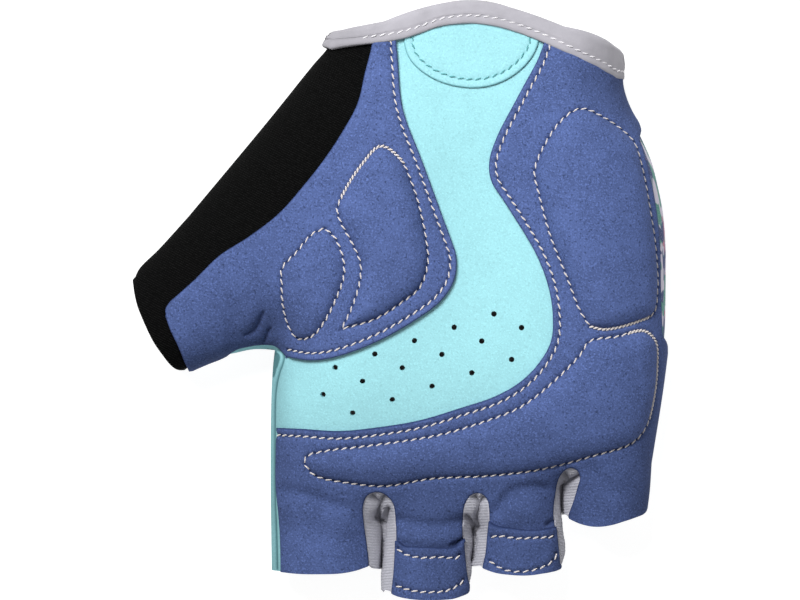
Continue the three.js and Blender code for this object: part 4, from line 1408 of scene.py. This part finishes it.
@lru_cache(maxsize=None)
def tape_lines():
    """The cuff's edge and the tape's lower edge in plan, point for point, evenly set in space."""
    cuff = cuff_line()
    lower = edge_lines()["tape"]
    lower = lower[inside(plan_outline(), lower)]
    ends = []
    for number, name, end in ((0, "after", lower[0]), (LAST_SIDE, "before", lower[-1])):
        rail = side(number, name)[0]
        ends.append(rail[np.argmin(np.linalg.norm(rail - end, axis=1))])
    step, count = TAPE_FINE
    lower = evenly(np.vstack((ends[0], lower[1:-1], ends[1])), step)
    s = (1.0 - np.cos(np.linspace(0.0, math.pi, count))) / 2.0

    def spread(line):
        run = run_along(line)
        return between(line, run, s * run[-1])

    top, bottom = spread(cuff), spread(lower)
    found = []
    for height in (palm_height, back_height):
        middle = (top + bottom) / 2
        path = np.column_stack((middle, height(middle)))
        path[[0, -1], 2] = SIDE_HEIGHT
        where = stations(path, run_along(path)[-1] / TAPE_STATIONS)
        found.append((at_stations(top, where), at_stations(bottom, where)))
    (palm_top, palm_bottom), (back_top, back_bottom) = found
    return (
        np.vstack((palm_top, back_top[-2:0:-1])),
        np.vstack((palm_bottom, back_bottom[-2:0:-1])),
        len(palm_top),
    )


def on_tape(share_of, further, stand):
    """Places round the whole cuff at one point of the tape's section, and the directions out."""
    top, bottom, count = tape_lines()
    width = np.linalg.norm(bottom - top, axis=1)
    down = (bottom - top) / width[:, None]

    def skin_at(reach):
        xy = top + down * reach[:, None]
        z = np.concatenate((palm_height(xy[:count]), back_height(xy[count:])))
        z[[0, count - 1]] = SIDE_HEIGHT
        return np.column_stack((xy, z))

    reach = share_of * width + further + TAPE_SET
    ahead = np.roll(skin_at(reach), -1, axis=0) - np.roll(skin_at(reach), 1, axis=0)
    out = np.cross(skin_at(reach + TAPE_SLOPE_STEP) - skin_at(reach - TAPE_SLOPE_STEP), ahead)
    out /= np.linalg.norm(out, axis=1)[:, None]
    total = len(top)
    # Out is level at the mitt's two sides, and turns up or down over the next stations
    for corner in (0, count - 1):
        straight = np.array((down[corner][1], -down[corner][0], 0.0))
        straight *= math.copysign(1.0, straight[0] * (-1.0 if corner == 0 else 1.0))
        for way in (-1, 1):
            settled = out[(corner + way * TAPE_TURN) % total]
            for near in range(TAPE_TURN):
                turned = straight + (settled - straight) * ramp(near / TAPE_TURN)
                out[(corner + way * near) % total] = turned / np.linalg.norm(turned)
    return skin_at(reach) + out * stand, out


class MITT_OT_cuff_tape(OneClick, bpy.types.Operator):
    """Adds the grey tape that is folded over the cuff's edge."""

    bl_idname = "mitt.cuff_tape"
    bl_label = "Cuff Tape"

    def execute(self, context):
        rings = []
        for share_of, further, stand in tape_section():
            places, out = on_tape(share_of, further, stand)
            number = np.arange(len(places))
            if stand > TAPE_WAVY:
                wave = sum(high * np.sin(number / across + phase) for high, across, phase in TAPE_WAVES)
                places += out * wave[:, None]
            places[:, 2] = np.maximum(places[:, 2], LOWEST)
            rings.append(places)
        bm = bmesh.new()
        bmesh.ops.create_grid(bm, x_segments=len(rings[0]), y_segments=len(rings), size=0.5)
        ranks = [sorted({round(vert.co[axis], 5) for vert in bm.verts}) for axis in (0, 1)]
        for vert in bm.verts:
            column, row = (ranks[axis].index(round(vert.co[axis], 5)) for axis in (0, 1))
            vert.co = rings[row % len(rings)][column % len(rings[0])]
        bmesh.ops.remove_doubles(bm, verts=bm.verts[:], dist=0.0005)
        bmesh.ops.recalc_face_normals(bm, faces=bm.faces[:])
        # painted shade: the tape is painted darker to the left
        lie = bm.verts.layers.float.new("lie")
        for vert in bm.verts:
            vert[lie] = TAPE_SHADE[1] * share(TAPE_SHADE[0], vert.co.x)
        tape = finish_of("grey_tape")
        finished("cuff_tape", bm, (tape,), ("cuff_binding",))
        return {"FINISHED"}


# Stitches
SLANT = math.radians(16.0)
TWICE_SLANT = math.radians(30.0)
TWICE_SEWN = (0.85, 1.35, 1.5)  # length, width and height of stitches on a stretch sewn twice
TWICE_BELOW = 0.75  # needle holes nearer than this share of the pitch are on such a stretch
STITCH_SUNK = 0.6  # share of a stitch's height that its middle stands above its groove
STITCH_FLAT = 0.4  # half a stitch's height as a share of the thread's width
SEAM_PULL = {"palm": 1.0, "tab": 0.8, "patch": 0.35}  # how deep each thread's groove is
THREADS = {  # each kind of seam's thread and slot
    "palm": ("white_thread", "blue_suede"),
    "tab": ("white_thread", "blue_suede"),
    "patch": ("teal_thread", "aqua_suede"),
}
TAPE_SEWN_FROM = 0.2  # share of the palm side that the tape's row of stitches leaves out
TAPE_TURN_GAP = 5  # stations left out at the mitt's sides
TAPE_STITCH = (1.38, 0.1)  # height of the tape's groove, and the stitches' above it


def add_stitch(bm, place, ahead, out, shape, slant):
    """One stitch: a low hump of thread along ahead, turned by slant about the direction out."""
    out = Vector(out)
    ahead = Vector(ahead)
    ahead = (ahead - out * ahead.dot(out)).normalized()
    frame_of = Matrix((ahead, out.cross(ahead), out)).transposed().to_4x4()
    turned = Matrix.Translation(place) @ frame_of @ Matrix.Rotation(slant, 4, "Z")
    matrix = turned @ Matrix.Diagonal((*shape, 1.0))
    bmesh.ops.create_uvsphere(bm, u_segments=6, v_segments=5, radius=1.0, matrix=matrix)


def stitch_shape():
    """Half a stitch's length, width and height."""
    width = in_mm("thread_width")
    return in_mm("stitch_length") / 2, width / 2, STITCH_FLAT * width


def sew(bm, seam):
    """Adds a seam's stitches to a bmesh."""
    path, out, where = sewn_path(seam)
    middle = (where[1:] + where[:-1]) / 2
    spots, ups, holes = at_stations(path, middle), at_stations(out, middle), at_stations(path, where)
    shape = stitch_shape()
    feet = at_stations(seam["line"], middle)
    rise = folds(feet) - SEAM_PULL[seam["thread"]] * in_mm("groove_depth") + STITCH_SUNK * shape[2]
    ahead = holes[1:] - holes[:-1]
    once = np.linalg.norm(ahead, axis=1) > TWICE_BELOW * in_mm("stitch_pitch")
    for spot, up, leg, single in zip(spots + ups * rise[:, None], ups, ahead, once):
        size = shape if single else [half * by for half, by in zip(shape, TWICE_SEWN)]
        add_stitch(bm, spot, leg, up, size, SLANT if single else TWICE_SLANT)


class MITT_OT_stitches(OneClick, bpy.types.Operator):
    """Adds the rows of stitches on the suede, the patch, the pull tabs and the cuff tape."""

    bl_idname = "mitt.stitches"
    bl_label = "Stitches"

    def execute(self, context):
        for kind, (thread, slot) in THREADS.items():
            bm = bmesh.new()
            for seam in seams().values():
                if seam["thread"] == kind:
                    sew(bm, seam)
            finished(f"{kind}_stitches", bm, (finish_of(thread),))
        bm = bmesh.new()
        count, gap = tape_lines()[2], TAPE_TURN_GAP
        groove, rise = TAPE_STITCH
        places, out = on_tape(1.0, -TAPE_SEAM, groove)
        shape = stitch_shape()
        for first, last in ((int(TAPE_SEWN_FROM * count), count - gap), (count + gap, len(places) - gap)):
            path, up = places[first:last], out[first:last]
            where = stations(path, in_mm("stitch_pitch"))
            middle = (where[1:] + where[:-1]) / 2
            spots, ups, holes = at_stations(path, middle), at_stations(up, middle), at_stations(path, where)
            for spot, direction, leg in zip(spots, ups, holes[1:] - holes[:-1]):
                spot = spot + direction * rise
                spot[2] = max(spot[2], LOWEST + shape[1])
                add_stitch(bm, spot, leg, direction, shape, SLANT)
        finished("tape_stitches", bm, (finish_of("grey_thread"),))
        return {"FINISHED"}


# Stage
CAMERA_LENS = 250.0
SENSOR = 36.0
VIEW_WIDTH = 0.184  # what the view takes in across, at VIEW_HEIGHT above the floor
VIEW_HEIGHT = 0.015
FLOOR = {"half": 1.5, "height": -0.0002, "glow": 0.9, "grey": (0.3, 0.3, 0.3)}
ROOM_LIGHT = 0.2
LIGHTS = (
    ("key_light", (-0.22, 0.42, 0.72), 0.4, 10.0),  # name, place, size and power
    ("fill_light", (0.3, -0.2, 1.0), 0.9, 1.5),
)


class MITT_OT_stage(OneClick, bpy.types.Operator):
    """Adds the pale floor, the soft lights and the camera."""

    bl_idname = "mitt.stage"
    bl_label = "Stage"

    def execute(self, context):
        scene = context.scene
        bm = bmesh.new()
        bmesh.ops.create_grid(bm, x_segments=1, y_segments=1, size=FLOOR["half"])
        bmesh.ops.translate(bm, vec=(0.0, 0.0, FLOOR["height"]), verts=bm.verts[:])
        mesh = bpy.data.meshes.new("floor")
        bm.to_mesh(mesh)
        bm.free()
        paper = Finish("white_paper", 0.9)
        paper.feed(paper.shader, {"Emission Color": (1.0, 1.0, 1.0), "Emission Strength": FLOOR["glow"]})
        mesh.materials.append(paper.done(FLOOR["grey"]))
        floor = bpy.data.objects.new("floor", mesh)
        scene.collection.objects.link(floor)
        for name, place, size, power in LIGHTS:
            light = bpy.data.lights.new(name, "AREA")
            light.shape = "DISK"
            light.size = size
            light.energy = power
            lamp = bpy.data.objects.new(name, light)
            lamp.location = place
            lamp.rotation_euler = (-Vector(place)).to_track_quat("-Z", "Y").to_euler()
            scene.collection.objects.link(lamp)
        world = bpy.data.worlds.new("pale_room")
        world.use_nodes = True
        room = world.node_tree.nodes["Background"].inputs
        room["Color"].default_value = (1.0, 1.0, 1.0, 1.0)
        room["Strength"].default_value = ROOM_LIGHT
        scene.world = world
        scene.view_settings.view_transform = "Standard"
        camera = bpy.data.objects.new("camera", bpy.data.cameras.new("camera"))
        camera.data.lens = CAMERA_LENS
        camera.data.sensor_width = SENSOR
        camera.location = (0.0, 0.0, VIEW_HEIGHT + VIEW_WIDTH * CAMERA_LENS / SENSOR)
        scene.collection.objects.link(camera)
        scene.camera = camera
        return {"FINISHED"}


def length_of(name, description, default):
    """A length that the panel shows, given in millimetres."""
    return FloatProperty(
        name=name, description=description, default=default * MM, min=0.0, precision=5,
        subtype="DISTANCE", unit="LENGTH",
    )


def colour_of(name, description, *rgb):
    return FloatVectorProperty(
        name=name, description=description, default=linear(*rgb), size=3, min=0.0, max=1.0,
        subtype="COLOR",
    )


class MittSizes(bpy.types.PropertyGroup):
    stitch_pitch: length_of("Stitch Pitch", "From one stitch to the next", 2.0)
    stitch_length: length_of("Stitch Length", "Length of the thread that shows", 1.7)
    thread_width: length_of("Thread Width", "Width of the sewing thread", 0.42)
    groove_depth: length_of("Groove Depth", "How far a seam pulls the suede down", 0.35)
    groove_width: length_of("Groove Width", "Half the width of a seam's groove", 0.5)
    print_stroke: length_of("Print Stroke", "Width of the back panel's brush strokes", 2.4)


class MittColours(bpy.types.PropertyGroup):
    blue_suede: colour_of("Blue Suede", "The overlays and pull tabs", 72, 88, 134)
    aqua_suede: colour_of("Aqua Suede", "The palm and the cuff patch", 147, 202, 209)
    grey_tape: colour_of("Grey Tape", "The tape round the cuff", 159, 157, 164)
    grey_rib: colour_of("Grey Rib", "The knit between the fingers", 172, 172, 181)
    black_knit: colour_of("Black Knit", "The towelling over the thumb", 8, 8, 8)
    print_pale: colour_of("Print Ground", "Pale ground of the back panel", 205, 200, 216)
    print_green: colour_of("Print Green", "Green strokes on the back panel", 72, 142, 130)
    print_navy: colour_of("Print Navy", "Navy strokes on the back panel", 22, 52, 110)
    print_pink: colour_of("Print Pink", "Pink strokes on the back panel", 182, 110, 136)
    white_thread: colour_of("White Thread", "Stitches on the blue suede", 222, 214, 210)
    teal_thread: colour_of("Teal Thread", "Stitches on the cuff patch", 96, 164, 168)
    grey_thread: colour_of("Grey Thread", "Stitches on the cuff tape", 236, 234, 238)


PIECES = (
    MITT_OT_palm_base,
    MITT_OT_back,
    MITT_OT_thumb_towel,
    MITT_OT_gussets,
    MITT_OT_suede,
    MITT_OT_pull_tabs,
    MITT_OT_cuff_tape,
    MITT_OT_stitches,
    MITT_OT_stage,
)


class MITT_PT_panel(bpy.types.Panel):
    """Lists the mitt's pieces, sizes and colours."""

    bl_label = "Cycling Mitt"
    bl_idname = "MITT_PT_panel"
    bl_space_type = "VIEW_3D"
    bl_region_type = "UI"
    bl_category = "Mitt"

    def draw(self, context):
        column = self.layout.column()
        for piece in PIECES:
            column.operator(piece.bl_idname, text=piece.bl_label)
        for group in (context.scene.mitt_sizes, context.scene.mitt_colours):
            for name in type(group).__annotations__:
                column.prop(group, name)


CLASSES = (MittSizes, MittColours) + PIECES + (MITT_PT_panel,)


def register():
    for item in CLASSES:
        bpy.utils.register_class(item)
    bpy.types.Scene.mitt_sizes = PointerProperty(type=MittSizes)
    bpy.types.Scene.mitt_colours = PointerProperty(type=MittColours)


def unregister():
    del bpy.types.Scene.mitt_colours
    del bpy.types.Scene.mitt_sizes
    for item in reversed(CLASSES):
        bpy.utils.unregister_class(item)


def main():
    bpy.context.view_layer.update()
    register()
    for piece in PIECES:
        group, name = piece.bl_idname.split(".")
        getattr(getattr(bpy.ops, group), name)()


if __name__ == "__main__":
    main()
